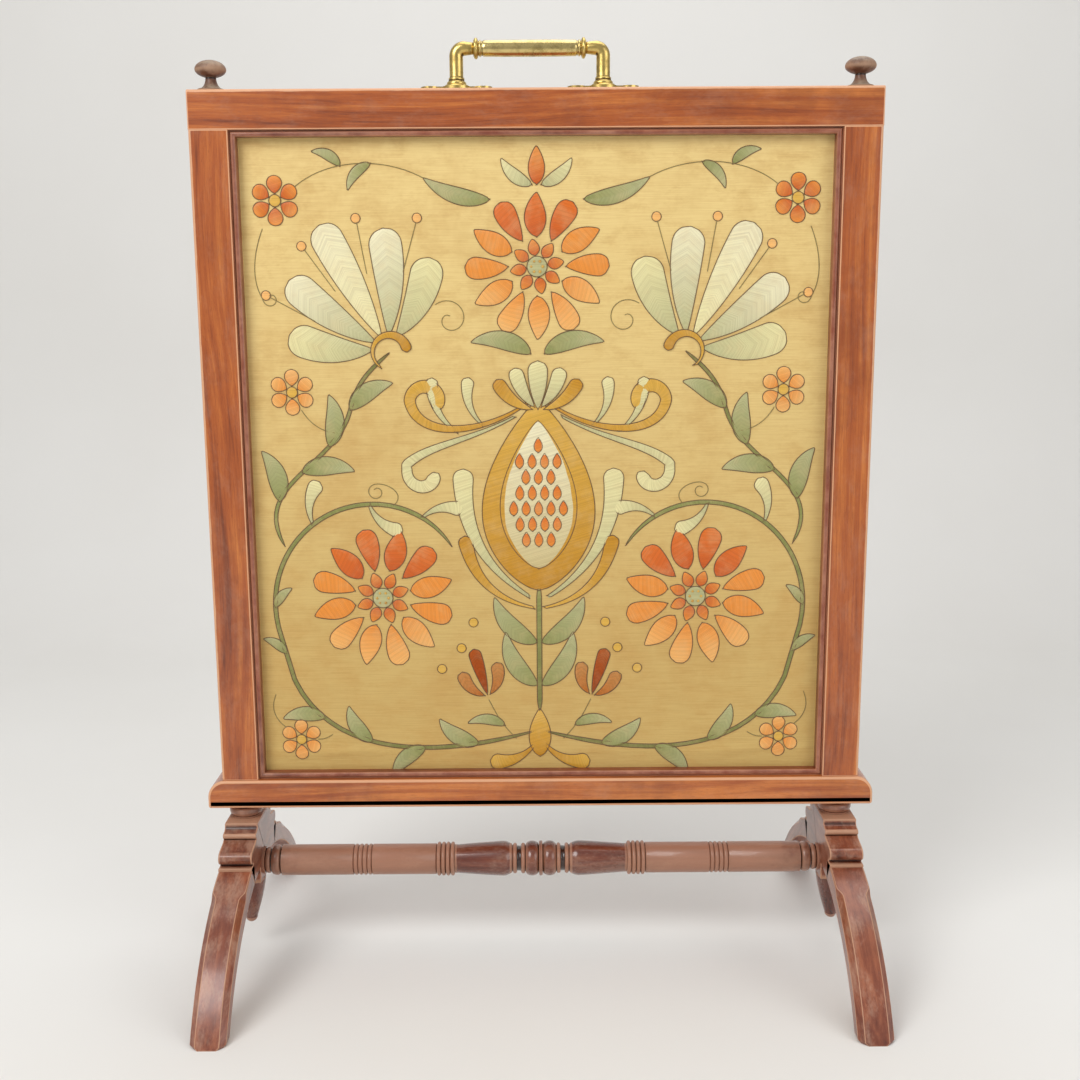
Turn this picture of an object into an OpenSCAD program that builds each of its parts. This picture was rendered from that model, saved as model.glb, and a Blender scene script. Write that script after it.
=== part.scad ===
// Free-standing fire screen: an embroidered silk panel in a wooden frame, on two arched trestle
// ends that a ring-turned stretcher joins, with a brass carrying handle and two turned finials.
// Millimetres. The origin is on the floor under the middle of the frame, +X to the viewer's
// right, +Y to the back and +Z up.

/* [Frame] */
// Width over the two stiles
frame_w = 580; // [500:2:700]
// Height of the stiles and the top rail above the base rail
frame_h = 602; // [460:2:760]
// Thickness of the stiles and the top rail, front to back
frame_t = 34; // [33:0.5:44]
// Height of the top rail
rail_face = 32.5; // [29:0.5:45]
// Width of each stile
stile_face = 33; // [30:0.5:45]
// Rounding worn onto the outer edges of the frame
arris_r = 2.5; // [1:0.5:4]

/* [Slip moulding] */
// Width of the moulding round the panel
moulding_w = 5.5; // [4:0.5:9]
// How far the moulding's face lies behind the frame's face
moulding_set = 2; // [1:0.5:4]
// How far the silk lies behind the frame's face
panel_recess = 12; // [10:0.5:13]

/* [Panel] */
// Thickness of the embroidered silk
silk_t = 0.6; // [0.4:0.1:0.8]
// Width of the strainer's battens
strainer_w = 34; // [24:1:50]
// Thickness of the strainer's battens
strainer_t = 12; // [10:0.5:13]
// Thickness of the back board
board_t = 4; // [3:0.5:5]
// Width of the beads that hold the panel in from behind
back_bead_w = 8; // [6:0.5:12]

/* [Base rail] */
// Height of the base rail
base_h = 26; // [25:1:36]
// Depth of the base rail, front to back
base_t = 40; // [38:1:60]
// How far the base rail stands out past each stile
base_over = 13; // [6:1:30]
// Radius of the rounding at the upper ends of the base rail
base_round = 16; // [6:1:20]

/* [Trestle ends] */
// Distance of each trestle end's middle from the side of the frame
trestle_in = 17; // [10:0.5:24]
// Thickness of each trestle end, left to right
trestle_t = 30; // [26:1:40]
// Height of the head's underside above the floor
head_low = 71; // [56:1:90]
// Height of the head from its underside to its top
head_h = 60; // [56:1:76]
// Depth of the head at its top
head_d = 48; // [42:1:60]
// Depth over the head's two moulded noses
nose_d = 108; // [104:1:130]
// Radius of each moulded nose
nose_r = 5.7; // [4:0.1:7]
// Radius of the small bead above each nose
head_bead_r = 2.5; // [1.5:0.5:3.5]
// Depth of the boss under the head
boss_d = 40; // [32:1:46]
// Depth over the front and the rear feet
foot_span = 358; // [300:2:420]
// Length of each foot on the floor
foot_len = 17; // [12:1:24]
// Width of the stopped chamfers on the legs
chamfer = 5; // [3:0.5:7]

/* [Turnings] */
// Diameter of the collar between the base rail and each head
collar_d = 30; // [24:1:38]
// Height of that collar
collar_h = 13; // [10:1:20]
// Diameter of the turned drop under each head
drop_d = 30; // [22:1:31]
// Height of the turned drop
drop_h = 47; // [34:1:52]
// Diameter of the plain lengths of the stretcher
stretcher_d = 28; // [24:1:32]
// Diameter of the raised rings on the stretcher
ring_d = 31; // [28:0.5:36]
// Diameter of the knop in the middle of the stretcher
knop_d = 32; // [28:0.5:38]
// Diameter of each finial's knob
finial_d = 26; // [20:1:32]
// Height of each finial above the frame
finial_h = 25.5; // [20:0.5:32]
// Distance of each finial's axis from the side of the frame
finial_in = 17.5; // [15:0.5:26]

/* [Handle] */
// Distance between the handle's two posts
handle_w = 123; // [108:1:150]
// Height of the grip's axis above the frame
handle_h = 33.5; // [28:0.5:42]
// Distance of the handle's middle from the frame's middle, to the right
handle_shift = -5; // [-20:1:20]
// Diameter of the grip
grip_d = 13.5; // [12:0.5:18]
// Length of the grip between its two collars
grip_len = 86; // [70:1:92]
// Diameter of the posts
post_d = 11.5; // [9:0.5:13]
// Diameter of the grip's collars
grip_collar_d = 17; // [15:0.5:21]
// Length of each base plate
plate_len = 60; // [54:1:72]
// Width of the round middle of each base plate
plate_d = 25; // [20:1:30]
// Thickness of the base plates
plate_t = 2.6; // [2:0.2:4]

/* [Joints and fasteners] */
// Clearance round tenons, spigots and screws in their holes
fit = 0.1; // [0.05:0.01:0.2]
// Clearance round the panel inside the frame
panel_gap = 1.2; // [1:0.1:1.6]
// Length of the stiles' tenons
tenon_len = 12; // [8:1:13]
// Thickness of the stiles' tenons, front to back
tenon_t = 10; // [7:1:14]
// Length of the finials' and the collars' spigots
spigot_len = 10; // [6:1:11]
// Diameter of the spigots
spigot_d = 9; // [6:0.5:12]
// Diameter of the dowels that hold the legs
dowel_d = 8; // [6:0.5:9]
// Length of those dowels
dowel_len = 32; // [24:1:34]
// Length of the handle's screws
screw_len = 16; // [10:1:20]
// Diameter of the screws' shanks
screw_d = 3.5; // [2.5:0.5:4]
// Length of the brads and tacks
brad_len = 12; // [8:1:14]

/* [Hidden] */
$fn = 64;
cut = 1; // how far a cutter runs past the face that it cuts

mahogany = "#8a4a22";
dark_mahogany = "#6b3320";
pine = "#c9a878";
old_brass = "#a8904c";
steel = "#6f6a62";
silk = "#dcc68c";

// Levels and planes of the frame
front_y = -frame_t / 2;
back_y = frame_t / 2;
head_top = head_low + head_h;
base_z = head_top + collar_h;
base_top = base_z + base_h;
frame_top = base_top + frame_h;
rail_z = frame_top - rail_face;
base_w = frame_w + 2 * base_over;

// The opening, and the layers in it from the silk to the back bead
open_w = frame_w - 2 * stile_face;
open_h = rail_z - base_top;
open_mid = base_top + open_h / 2;
silk_y = front_y + panel_recess;
strainer_y = silk_y + silk_t;
board_y = strainer_y + strainer_t;
back_bead_y = board_y + board_t;
quirk_w = 1;
panel_w = open_w - 2 * panel_gap;
panel_h = open_h - 2 * panel_gap;
strainer_len_x = panel_w - 2 * silk_t;
strainer_len_z = panel_h - 2 * silk_t;

// Stile tenons
tenon_shoulder = 7;
stile_mid = frame_w / 2 - stile_face / 2;
tenon_w = stile_face - 2 * tenon_shoulder;

// Trestle ends
end_x = frame_w / 2 - trestle_in;
trestle_gap = 2 * end_x - trestle_t;
foot_y = foot_span / 2;
leg_tuck = 8; // how far each leg's root lies behind the nose above it
leg_proud = 2; // how far its top stands out past the nose
root_y = nose_d / 2 - leg_tuck;
leg_top_y = nose_d / 2 + leg_proud;

// The head's mouldings from its top down: lip, cove, bead, slope, nose and fillet
lip_h = 3;
cove_d = 7;
cove_h = 3.5;
bead_cover = 1; // how far the wood behind a bead or nose lies inside its middle
quirk_h = 0.6;
slope_d = 2;
shelf_h = 16.2;
nose_drop = 22.3;
nose_z = head_top - nose_drop;
fillet_h = 2.6;
fillet_in = 0.5; // how far the fillet lies behind the leg's top
nose_gap = 1.9;
leg_top_z = nose_z - nose_r - nose_gap - fillet_h;
boss_top = nose_z;
stretcher_above = 14; // height of the stretcher's axis above the head's underside
stretcher_z = head_low + stretcher_above;
// The legs' outer and inner faces are arcs about points on the middle plane
outer_c = (pow(leg_top_y, 2) + pow(leg_top_z, 2) - pow(foot_y, 2)) / (2 * leg_top_z);
outer_r = norm([foot_y, outer_c]);
arch_drop = 12; // how far the arch meets the boss below the legs' tops
arch_z = leg_top_z - arch_drop;
inner_c = (pow(boss_d / 2, 2) + pow(arch_z, 2) - pow(foot_y - foot_len, 2)) / (2 * arch_z);
inner_r = norm([foot_y - foot_len, inner_c]);
chamfer_stop = 22; // how far out from the leg's top its chamfers stop
chamfer_start = acos((leg_top_y + chamfer_stop) / outer_r);
dowel_z = (leg_top_z + inner_c + sqrt(pow(inner_r, 2) - pow(root_y, 2))) / 2;
dowel_apart = trestle_t / 4;

// Stretcher, measured along its length from the middle
knop_half = 14.5;
fillet_end = 27;
vase_end = 80;
ring_b_end = 97;
ring_a_start = 157;
ring_a_end = 174;
end_rings = 17;
stretcher_half = trestle_gap / 2;
stretcher_spigot = 12;
stretcher_spigot_len = 14;
spigot_web = 1.5; // wood left between the drop's spigot and the stretcher's
drop_spigot = stretcher_above - stretcher_spigot / 2 - spigot_web;

// Handle
grip_z = frame_top + handle_h;
collar_len = 4;
plate_rise = 1.6;
post_foot_h = 6;
post_neck = 0.9; // how far the neck of the post's foot stands out
post_flare = 2.4; // how far its lower ring stands out
rod_d = 5;
rod_grip = 4; // how far the rod reaches into each post
rod_len = grip_len + 2 * (collar_len + rod_grip);
elbow_r = post_d / 2 + 0.6;
screw_lobe_d = 16;
screw_apart = plate_len - screw_lobe_d;
plate_step = 3;
plate_neck = 10;
screw_head_d = 7;
screw_head_h = 2;
slot_w = 0.9;
slot_h = 0.8;

// A turned half-round from place x to x + w along the axis, between two radii
function half_round(x, w, low, high, steps = 6) =
    [for (i = [0 : steps])
        let (t = 180 * i / steps)
        [x + w * (1 - cos(t)) / 2, low + (high - low) * sin(t)]];

// A group of n turned rings side by side
function rings(x, w, n, low, high) =
    [for (k = [0 : n - 1]) each half_round(x + k * w / n, w / n, low, high, 4)];

// Swaps the places of a turning's length and radius, for rotate_extrude
function turned(points) = [for (p = points) [p[1], p[0]]];

module along_x(length) {
    translate([-length / 2, 0, 0])
        rotate([90, 0, 90])
            linear_extrude(length)
                children();
}

module both_sides() {
    for (side = [-1, 1])
        translate([side * end_x, 0, 0])
            children();
}

// What a rounding of radius r takes off a corner, from the middle of its arc
module corner_waste(r) {
    difference() {
        square(r + cut);
        circle(r);
    }
}

module block(size, at) {
    translate(at - size / 2)
        cube(size);
}

// Frame

module stile_tenon(grow = 0) {
    size = [tenon_w + 2 * grow, tenon_t + 2 * grow, tenon_len + cut + grow];
    for (z = [rail_z - cut, base_top - tenon_len - grow])
        translate([stile_mid - size[0] / 2, -size[1] / 2, z])
            cube(size);
}

module stile_profile() {
    difference() {
        translate([0, -frame_t / 2])
            square([stile_face, frame_t]);
        for (side = [0, 1])
            mirror([0, side, 0])
                translate([stile_face - arris_r, frame_t / 2 - arris_r])
                    corner_waste(arris_r);
    }
}

module right_stile() {
    color(mahogany)
        difference() {
            union() {
                translate([frame_w / 2 - stile_face, 0, base_top])
                    linear_extrude(open_h)
                        stile_profile();
                stile_tenon();
            }
            right_brads();
        }
}

module left_stile() {
    mirror([1, 0, 0])
        right_stile();
}

module rail_profile() {
    difference() {
        translate([-frame_t / 2, 0])
            square([frame_t, rail_face]);
        for (side = [0, 1])
            mirror([side, 0, 0])
                translate([frame_t / 2 - arris_r, rail_face - arris_r])
                    corner_waste(arris_r);
    }
}

module top_rail() {
    color(mahogany)
        difference() {
            translate([0, 0, rail_z])
                along_x(frame_w)
                    rail_profile();
            for (side = [0, 1])
                mirror([side, 0, 0]) {
                    stile_tenon(fit);
                    finial_place()
                        spigot_hole();
                }
            handle_screw_places()
                translate([0, 0, plate_t - screw_len - fit])
                    cylinder(h = screw_len, d = screw_d + 2 * fit);
            top_brads();
        }
}

module base_outline() {
    r = min(base_round, base_h - cut);
    difference() {
        translate([-base_w / 2, 0])
            square([base_w, base_h]);
        for (side = [0, 1])
            mirror([side, 0, 0])
                translate([base_w / 2 - r, base_h - r])
                    corner_waste(r);
    }
}

module base_rail() {
    color(mahogany)
        difference() {
            translate([0, base_t / 2, base_z])
                rotate([90, 0, 0])
                    linear_extrude(base_t)
                        base_outline();
            for (side = [0, 1])
                mirror([side, 0, 0])
                    stile_tenon(fit);
            both_sides()
                translate([0, 0, base_z - cut])
                    cylinder(h = spigot_len + fit + cut, d = spigot_d + 2 * fit);
            bottom_brads();
        }
}

// Slip moulding with mitred ends, lying along X with its outer edge at z = 0

// A bead beside a narrow quirk, in depth behind the moulding's face and width
module moulding_profile() {
    bead_r = (moulding_w - quirk_w) / 2;
    union() {
        translate([bead_r, 0])
            square([panel_recess - moulding_set - bead_r, moulding_w]);
        translate([bead_r, moulding_w - bead_r])
            circle(bead_r);
    }
}

module mitred(length, w) {
    difference() {
        children();
        for (side = [0, 1])
            mirror([side, 0, 0])
                translate([length / 2, 0, 0])
                    rotate([0, -45, 0])
                        translate([0, -frame_t, -2 * w])
                            cube([4 * w, 2 * frame_t, 6 * w]);
    }
}

module moulding(length) {
    color(dark_mahogany)
        mitred(length, moulding_w)
            translate([0, front_y + moulding_set, 0])
                along_x(length)
                    moulding_profile();
}

module moulding_bottom() {
    translate([0, 0, base_top])
        moulding(open_w);
}

module moulding_top() {
    translate([0, 0, rail_z])
        mirror([0, 0, 1])
            moulding(open_w);
}

module moulding_left() {
    translate([-open_w / 2, 0, open_mid])
        rotate([0, 90, 0])
            moulding(open_h);
}

module moulding_right() {
    mirror([1, 0, 0])
        moulding_left();
}

// Panel: silk turned over the edges of a pine strainer, with a board behind

module silk_panel() {
    color(silk)
        difference() {
            translate([-panel_w / 2, silk_y, open_mid - panel_h / 2])
                cube([panel_w, silk_t + strainer_t, panel_h]);
            translate([-strainer_len_x / 2, strainer_y, open_mid - strainer_len_z / 2])
                cube([strainer_len_x, strainer_t + cut, strainer_len_z]);
            silk_tack_places()
                tack_shank();
        }
}

// Batten of a given length along X, halved at both ends on one of its faces
module halved_batten(length, keep_front) {
    color(pine)
        difference() {
            translate([-length / 2, strainer_y, 0])
                cube([length, strainer_t, strainer_w]);
            for (side = [0, 1])
                mirror([side, 0, 0])
                    translate([
                        length / 2 - strainer_w,
                        strainer_y + (keep_front ? strainer_t / 2 : -cut),
                        -cut
                    ])
                        cube([strainer_w + cut, strainer_t / 2 + cut, strainer_w + 2 * cut]);
        }
}

module strainer_bottom() {
    difference() {
        translate([0, 0, open_mid - strainer_len_z / 2])
            halved_batten(strainer_len_x, true);
        silk_tack_places()
            tack_shank();
    }
}

module strainer_top() {
    difference() {
        translate([0, 0, open_mid + strainer_len_z / 2 - strainer_w])
            halved_batten(strainer_len_x, true);
        silk_tack_places()
            tack_shank();
    }
}

module strainer_left() {
    difference() {
        translate([-strainer_len_x / 2, 0, open_mid])
            rotate([0, 90, 0])
                halved_batten(strainer_len_z, false);
        silk_tack_places()
            tack_shank();
    }
}

module strainer_right() {
    mirror([1, 0, 0])
        strainer_left();
}

// Tacks stand in the strainer's edges, each with its head towards +Z before it is turned
module silk_tack_places() {
    y = strainer_y + strainer_t * 0.25;
    for (turn = [0 : 90 : 270]) {
        across = (turn % 180 == 0);
        reach = (across ? strainer_len_z : strainer_len_x) / 2;
        run = (across ? strainer_len_x : strainer_len_z) / 2 - strainer_w * 1.5;
        translate([0, across ? y : y + strainer_t / 2, open_mid])
            rotate([0, turn, 0])
                for (k = [-2 : 2])
                    translate([k * run / 2, 0, reach])
                        children();
    }
}

module tack_shank() {
    translate([0, 0, -brad_len + silk_t])
        cylinder(h = brad_len, d = 1.4);
}

module silk_tacks() {
    head_t = (panel_gap - silk_t / 2) / 2;
    color(steel)
        silk_tack_places() {
            tack_shank();
            translate([0, 0, silk_t])
                cylinder(h = head_t, d = 4);
        }
}

module back_board() {
    color(dark_mahogany)
        translate([-panel_w / 2, board_y, open_mid - panel_h / 2])
            cube([panel_w, board_t, panel_h]);
}

// Quarter-round beads pinned in behind the board, mitred at the corners

module back_bead(length) {
    depth = back_y - back_bead_y;
    r = min(depth, back_bead_w) * 0.7;
    color(mahogany)
        difference() {
            mitred(length, back_bead_w)
                translate([0, back_bead_y, 0])
                    along_x(length)
                        difference() {
                            square([depth, back_bead_w]);
                            translate([depth - r, back_bead_w - r])
                                corner_waste(r);
                        }
            brad_row(length)
                brad();
        }
}

module back_bead_bottom() {
    translate([0, 0, base_top])
        back_bead(open_w);
}

module back_bead_top() {
    translate([0, 0, rail_z])
        mirror([0, 0, 1])
            back_bead(open_w);
}

module back_bead_left() {
    translate([-open_w / 2, 0, open_mid])
        rotate([0, 90, 0])
            back_bead(open_h);
}

module back_bead_right() {
    mirror([1, 0, 0])
        back_bead_left();
}

module brad_row(length) {
    for (k = [-1 : 1])
        translate([k * length * 0.36, (back_bead_y + back_y) / 2, 0])
            children();
}

// A brad through a bead that lies along X, with its point towards -Z
module brad() {
    translate([0, 0, back_bead_w - brad_len])
        cylinder(h = brad_len + cut / 4, d = 1.4);
}

module bottom_brads() {
    translate([0, 0, base_top])
        brad_row(open_w)
            brad();
}

module top_brads() {
    translate([0, 0, rail_z])
        mirror([0, 0, 1])
            brad_row(open_w)
                brad();
}

module right_brads() {
    translate([open_w / 2, 0, open_mid])
        rotate([0, -90, 0])
            brad_row(open_h)
                brad();
}

module back_brads() {
    color(steel) {
        bottom_brads();
        top_brads();
        right_brads();
        mirror([1, 0, 0])
            right_brads();
    }
}

// Finials

module finial_place() {
    translate([frame_w / 2 - finial_in, 0, frame_top])
        children();
}

module spigot_hole() {
    translate([0, 0, -spigot_len - fit])
        cylinder(h = spigot_len + fit + cut, d = spigot_d + 2 * fit);
}

module finial_right() {
    base_r = finial_d * 0.46;
    neck_r = finial_d * 0.17;
    neck_z = finial_h * 0.44;
    knob_z = finial_h * 0.7;
    profile = concat(
        [[0, 0], [base_r, 0], [base_r, 1.6]],
        [for (t = [0 : 15 : 90]) [base_r - (base_r - neck_r) * sin(t), neck_z - (neck_z - 2.2) * cos(t)]],
        [for (t = [-72 : 12 : 84])
            [finial_d / 2 * cos(t), knob_z + (t < 0 ? knob_z - neck_z : finial_h - knob_z) * sin(t)]],
        [[0, finial_h]]
    );
    color(dark_mahogany)
        finial_place() {
            rotate_extrude()
                polygon(profile);
            translate([0, 0, -spigot_len])
                cylinder(h = spigot_len + cut, d = spigot_d);
        }
}

module finial_left() {
    mirror([1, 0, 0])
        finial_right();
}

// Handle: a tubular grip on a rod between two cranked posts on screwed plates

module handle_middle() {
    translate([handle_shift, 0, 0])
        children();
}

module handle_screw_places() {
    handle_middle()
        for (side = [-1, 1], end = [-1, 1])
            translate([side * handle_w / 2 + end * screw_apart / 2, 0, frame_top])
                children();
}

module handle_grip() {
    swell = 0.8;
    color(old_brass)
        handle_middle()
            translate([0, 0, grip_z])
                rotate([0, 90, 0])
                    difference() {
                        union() {
                            cylinder(h = grip_len - 8, d = grip_d, center = true);
                            cylinder(h = grip_len, d = grip_d - 2 * swell, center = true);
                            for (side = [-1, 1])
                                translate([0, 0, side * (grip_len / 2 - 1.6)])
                                    cylinder(h = 1.6, d = grip_d, center = true);
                        }
                        cylinder(h = grip_len + cut, d = rod_d + 2 * fit, center = true);
                    }
}

module handle_rod() {
    color(steel)
        handle_middle()
            translate([0, 0, grip_z])
                rotate([0, 90, 0])
                    cylinder(h = rod_len, d = rod_d, center = true);
}

module handle_collar_right() {
    color(old_brass)
        handle_middle()
            translate([grip_len / 2, 0, grip_z])
                rotate([0, 90, 0])
                    difference() {
                        rotate_extrude()
                            polygon(turned(concat(
                                [[0, 0], [0, grip_d / 2]],
                                half_round(0.4, collar_len - 0.8, grip_d / 2, grip_collar_d / 2, 8),
                                [[collar_len, grip_d / 2], [collar_len, 0]]
                            )));
                        translate([0, 0, -cut])
                            cylinder(h = collar_len + 2 * cut, d = rod_d + 2 * fit);
                    }
}

module handle_collar_left() {
    handle_middle()
        mirror([1, 0, 0])
            translate([-handle_shift, 0, 0])
                handle_collar_right();
}

module handle_post_right() {
    stub_x = grip_len / 2 + collar_len;
    bend_x = handle_w / 2 - elbow_r;
    bend_z = grip_z - elbow_r;
    plate_top = frame_top + plate_t + plate_rise;
    color(old_brass)
        handle_middle()
            difference() {
                union() {
                    translate([stub_x, 0, grip_z])
                        rotate([0, 90, 0])
                            cylinder(h = bend_x - stub_x, d1 = post_d - 2, d2 = post_d);
                    translate([bend_x, 0, bend_z])
                        rotate([90, 0, 0])
                            rotate_extrude(angle = 90)
                                translate([elbow_r, 0])
                                    circle(post_d / 2);
                    translate([handle_w / 2, 0, plate_top])
                        cylinder(h = bend_z - plate_top, d = post_d);
                    translate([handle_w / 2, 0, plate_top])
                        rotate_extrude()
                            polygon([
                                [0, 0],
                                [post_d / 2 + post_flare, 0],
                                [post_d / 2 + post_flare, post_foot_h * 0.27],
                                [post_d / 2 + post_neck, post_foot_h * 0.5],
                                [post_d / 2 + post_neck, post_foot_h * 0.87],
                                [post_d / 2, post_foot_h],
                                [0, post_foot_h]
                            ]);
                }
                translate([stub_x - cut, 0, grip_z])
                    rotate([0, 90, 0])
                        cylinder(h = rod_len / 2 - stub_x + cut + fit, d = rod_d + 2 * fit);
            }
}

module handle_post_left() {
    handle_middle()
        mirror([1, 0, 0])
            translate([-handle_shift, 0, 0])
                handle_post_right();
}

module handle_plate_right() {
    color(old_brass)
        difference() {
            handle_middle()
                translate([handle_w / 2, 0, frame_top]) {
                    cylinder(h = plate_t, d = plate_d);
                    translate([0, 0, plate_t])
                        cylinder(h = plate_rise, d1 = plate_d - plate_step, d2 = plate_d - 2 * plate_step);
                    for (end = [-1, 1])
                        translate([end * screw_apart / 2, 0, 0])
                            cylinder(h = plate_t, d = screw_lobe_d);
                    translate([-screw_apart / 2, -plate_neck / 2, 0])
                        cube([screw_apart, plate_neck, plate_t]);
                }
            handle_screw_places()
                screw(fit);
        }
}

module handle_plate_left() {
    handle_middle()
        mirror([1, 0, 0])
            translate([-handle_shift, 0, 0])
                handle_plate_right();
}

// A countersunk screw whose head is level with the plate's top
module screw(grow = 0) {
    translate([0, 0, plate_t - screw_head_h])
        cylinder(h = screw_head_h, d1 = screw_d + 2 * grow, d2 = screw_head_d + 2 * grow);
    translate([0, 0, plate_t - screw_len])
        cylinder(h = screw_len - screw_head_h, d = screw_d + 2 * grow);
}

module handle_screws() {
    color(old_brass)
        handle_screw_places()
            difference() {
                screw();
                block([screw_head_d + cut, slot_w, 2 * slot_h], [0, 0, plate_t]);
            }
}

// Trestle ends

module collar_left() {
    mirror([1, 0, 0])
        collar_right();
}

module collar_right() {
    r = collar_d / 2;
    bead = collar_h * 0.62;
    color(dark_mahogany)
        translate([end_x, 0, head_top]) {
            rotate_extrude()
                polygon(turned(concat(
                    [[0, 0], [0, r * 0.86], [1.6, r * 0.86]],
                    half_round(1.6, bead, r * 0.8, r, 8),
                    [[bead + 1.6, r * 0.7], [collar_h, r * 0.74], [collar_h, 0]]
                )));
            for (z = [-spigot_len, collar_h - cut])
                translate([0, 0, z])
                    cylinder(h = spigot_len + cut, d = spigot_d);
        }
}

module drop_left() {
    mirror([1, 0, 0])
        drop_right();
}

module drop_right() {
    r = drop_d / 2;
    tip_r = r * 0.38;
    body = drop_h - tip_r;
    color(dark_mahogany)
        translate([end_x, 0, head_low]) {
            mirror([0, 0, 1])
                rotate_extrude()
                    polygon(turned(concat(
                        [[0, 0], [0, r * 0.96]],
                        [for (i = [0 : 10]) let (t = i / 10)
                            [2 + (body - 2) * t, r - (r - tip_r) * pow(t, 1.35)]],
                        [for (t = [18 : 18 : 90]) [body + tip_r * sin(t), tip_r * cos(t)]]
                    )));
            translate([0, 0, -cut])
                cylinder(h = drop_spigot + cut, d = spigot_d);
        }
}

// Half of a head's outline in depth and height, from its arch up to its top
function head_points() =
    let (
        top_y = head_d / 2,
        step_y = top_y + cove_d,
        step_z = head_top - lip_h - cove_h,
        nose_y = nose_d / 2 - nose_r
    )
    [
        [root_y, head_low],
        [root_y, leg_top_z],
        [leg_top_y - fillet_in, leg_top_z],
        [leg_top_y - fillet_in, leg_top_z + fillet_h],
        [nose_y - bead_cover, leg_top_z + fillet_h],
        [nose_y - bead_cover, head_top - shelf_h],
        [step_y + slope_d, step_z - 2 * head_bead_r - slope_d],
        [step_y - bead_cover, step_z - 2 * head_bead_r - quirk_h],
        [step_y - bead_cover, step_z - head_bead_r],
        [step_y, step_z],
        [top_y, head_top - lip_h],
        [top_y, head_top]
    ];

// A head: a stack of mouldings to the front and the rear, over an arch and a boss
module head_blank() {
    right = head_points();
    left = [for (i = [len(right) - 1 : -1 : 0]) [-right[i][0], right[i][1]]];
    step_y = head_d / 2 + cove_d;
    union() {
        difference() {
            along_x(trestle_t)
                polygon(concat(right, left));
            translate([0, 0, inner_c])
                rotate([0, 90, 0])
                    cylinder(h = trestle_t + 2 * cut, r = inner_r, center = true, $fn = 180);
        }
        for (side = [-1, 1]) {
            translate([0, side * (nose_d / 2 - nose_r), nose_z])
                rotate([0, 90, 0])
                    cylinder(h = trestle_t, r = nose_r, center = true);
            translate([0, side * step_y, head_top - lip_h - cove_h - head_bead_r])
                rotate([0, 90, 0])
                    cylinder(h = trestle_t, r = head_bead_r, center = true);
        }
        block([trestle_t, boss_d, boss_top - head_low], [0, 0, (boss_top + head_low) / 2]);
    }
}

module head_right() {
    color(dark_mahogany)
        difference() {
            translate([end_x, 0, 0])
                head_blank();
            translate([end_x, 0, head_top - spigot_len - fit])
                cylinder(h = spigot_len + fit + cut, d = spigot_d + 2 * fit);
            translate([end_x, 0, head_low - cut])
                cylinder(h = drop_spigot + fit + cut, d = spigot_d + 2 * fit);
            translate([trestle_gap / 2 - cut, 0, stretcher_z])
                rotate([0, 90, 0])
                    cylinder(h = stretcher_spigot_len + fit + cut, d = stretcher_spigot + 2 * fit);
            leg_dowel_places()
                dowel(fit);
        }
}

module head_left() {
    mirror([1, 0, 0])
        head_right();
}

module leg_dowel_places() {
    translate([end_x, 0, dowel_z])
        for (side = [-1, 1], end = [0, 1])
            mirror([0, end, 0])
                translate([side * dowel_apart, root_y, 0])
                    children();
}

module dowel(grow = 0) {
    rotate([90, 0, 0])
        cylinder(h = dowel_len + 2 * grow, d = dowel_d + 2 * grow, center = true);
}

module leg_dowels() {
    color(pine)
        for (side = [0, 1])
            mirror([side, 0, 0])
                leg_dowel_places()
                    dowel();
}

module leg_outline() {
    difference() {
        intersection() {
            translate([0, outer_c])
                circle(outer_r, $fn = 180);
            translate([root_y, 0])
                square([foot_y, leg_top_z]);
        }
        translate([0, inner_c])
            circle(inner_r, $fn = 180);
    }
}

// Cuts a chamfer along the leg's outer face, up to its stop below the head
module leg_chamfer() {
    below_floor = 8;
    start = acos(foot_y / outer_r) - below_floor;
    translate([-trestle_t / 2, 0, 0])
        rotate([90, 0, 90])
            translate([0, outer_c, 0])
                rotate([0, 0, start])
                    rotate_extrude(angle = chamfer_start - start, $fn = 180)
                        polygon([
                            [outer_r - chamfer, -cut],
                            [outer_r + cut, -cut],
                            [outer_r + cut, chamfer + cut],
                            [outer_r - chamfer, 0]
                        ]);
}

// The rear leg of the right end; the other three are its mirror images
module rear_leg_right() {
    color(dark_mahogany)
        difference() {
            translate([end_x, 0, 0])
                along_x(trestle_t)
                    leg_outline();
            for (side = [0, 1])
                translate([end_x, 0, 0])
                    mirror([side, 0, 0])
                        leg_chamfer();
            leg_dowel_places()
                dowel(fit);
        }
}

module rear_leg_left() {
    mirror([1, 0, 0])
        rear_leg_right();
}

module front_leg_right() {
    mirror([0, 1, 0])
        rear_leg_right();
}

module front_leg_left() {
    mirror([1, 0, 0])
        front_leg_right();
}

// Stretcher

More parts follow.
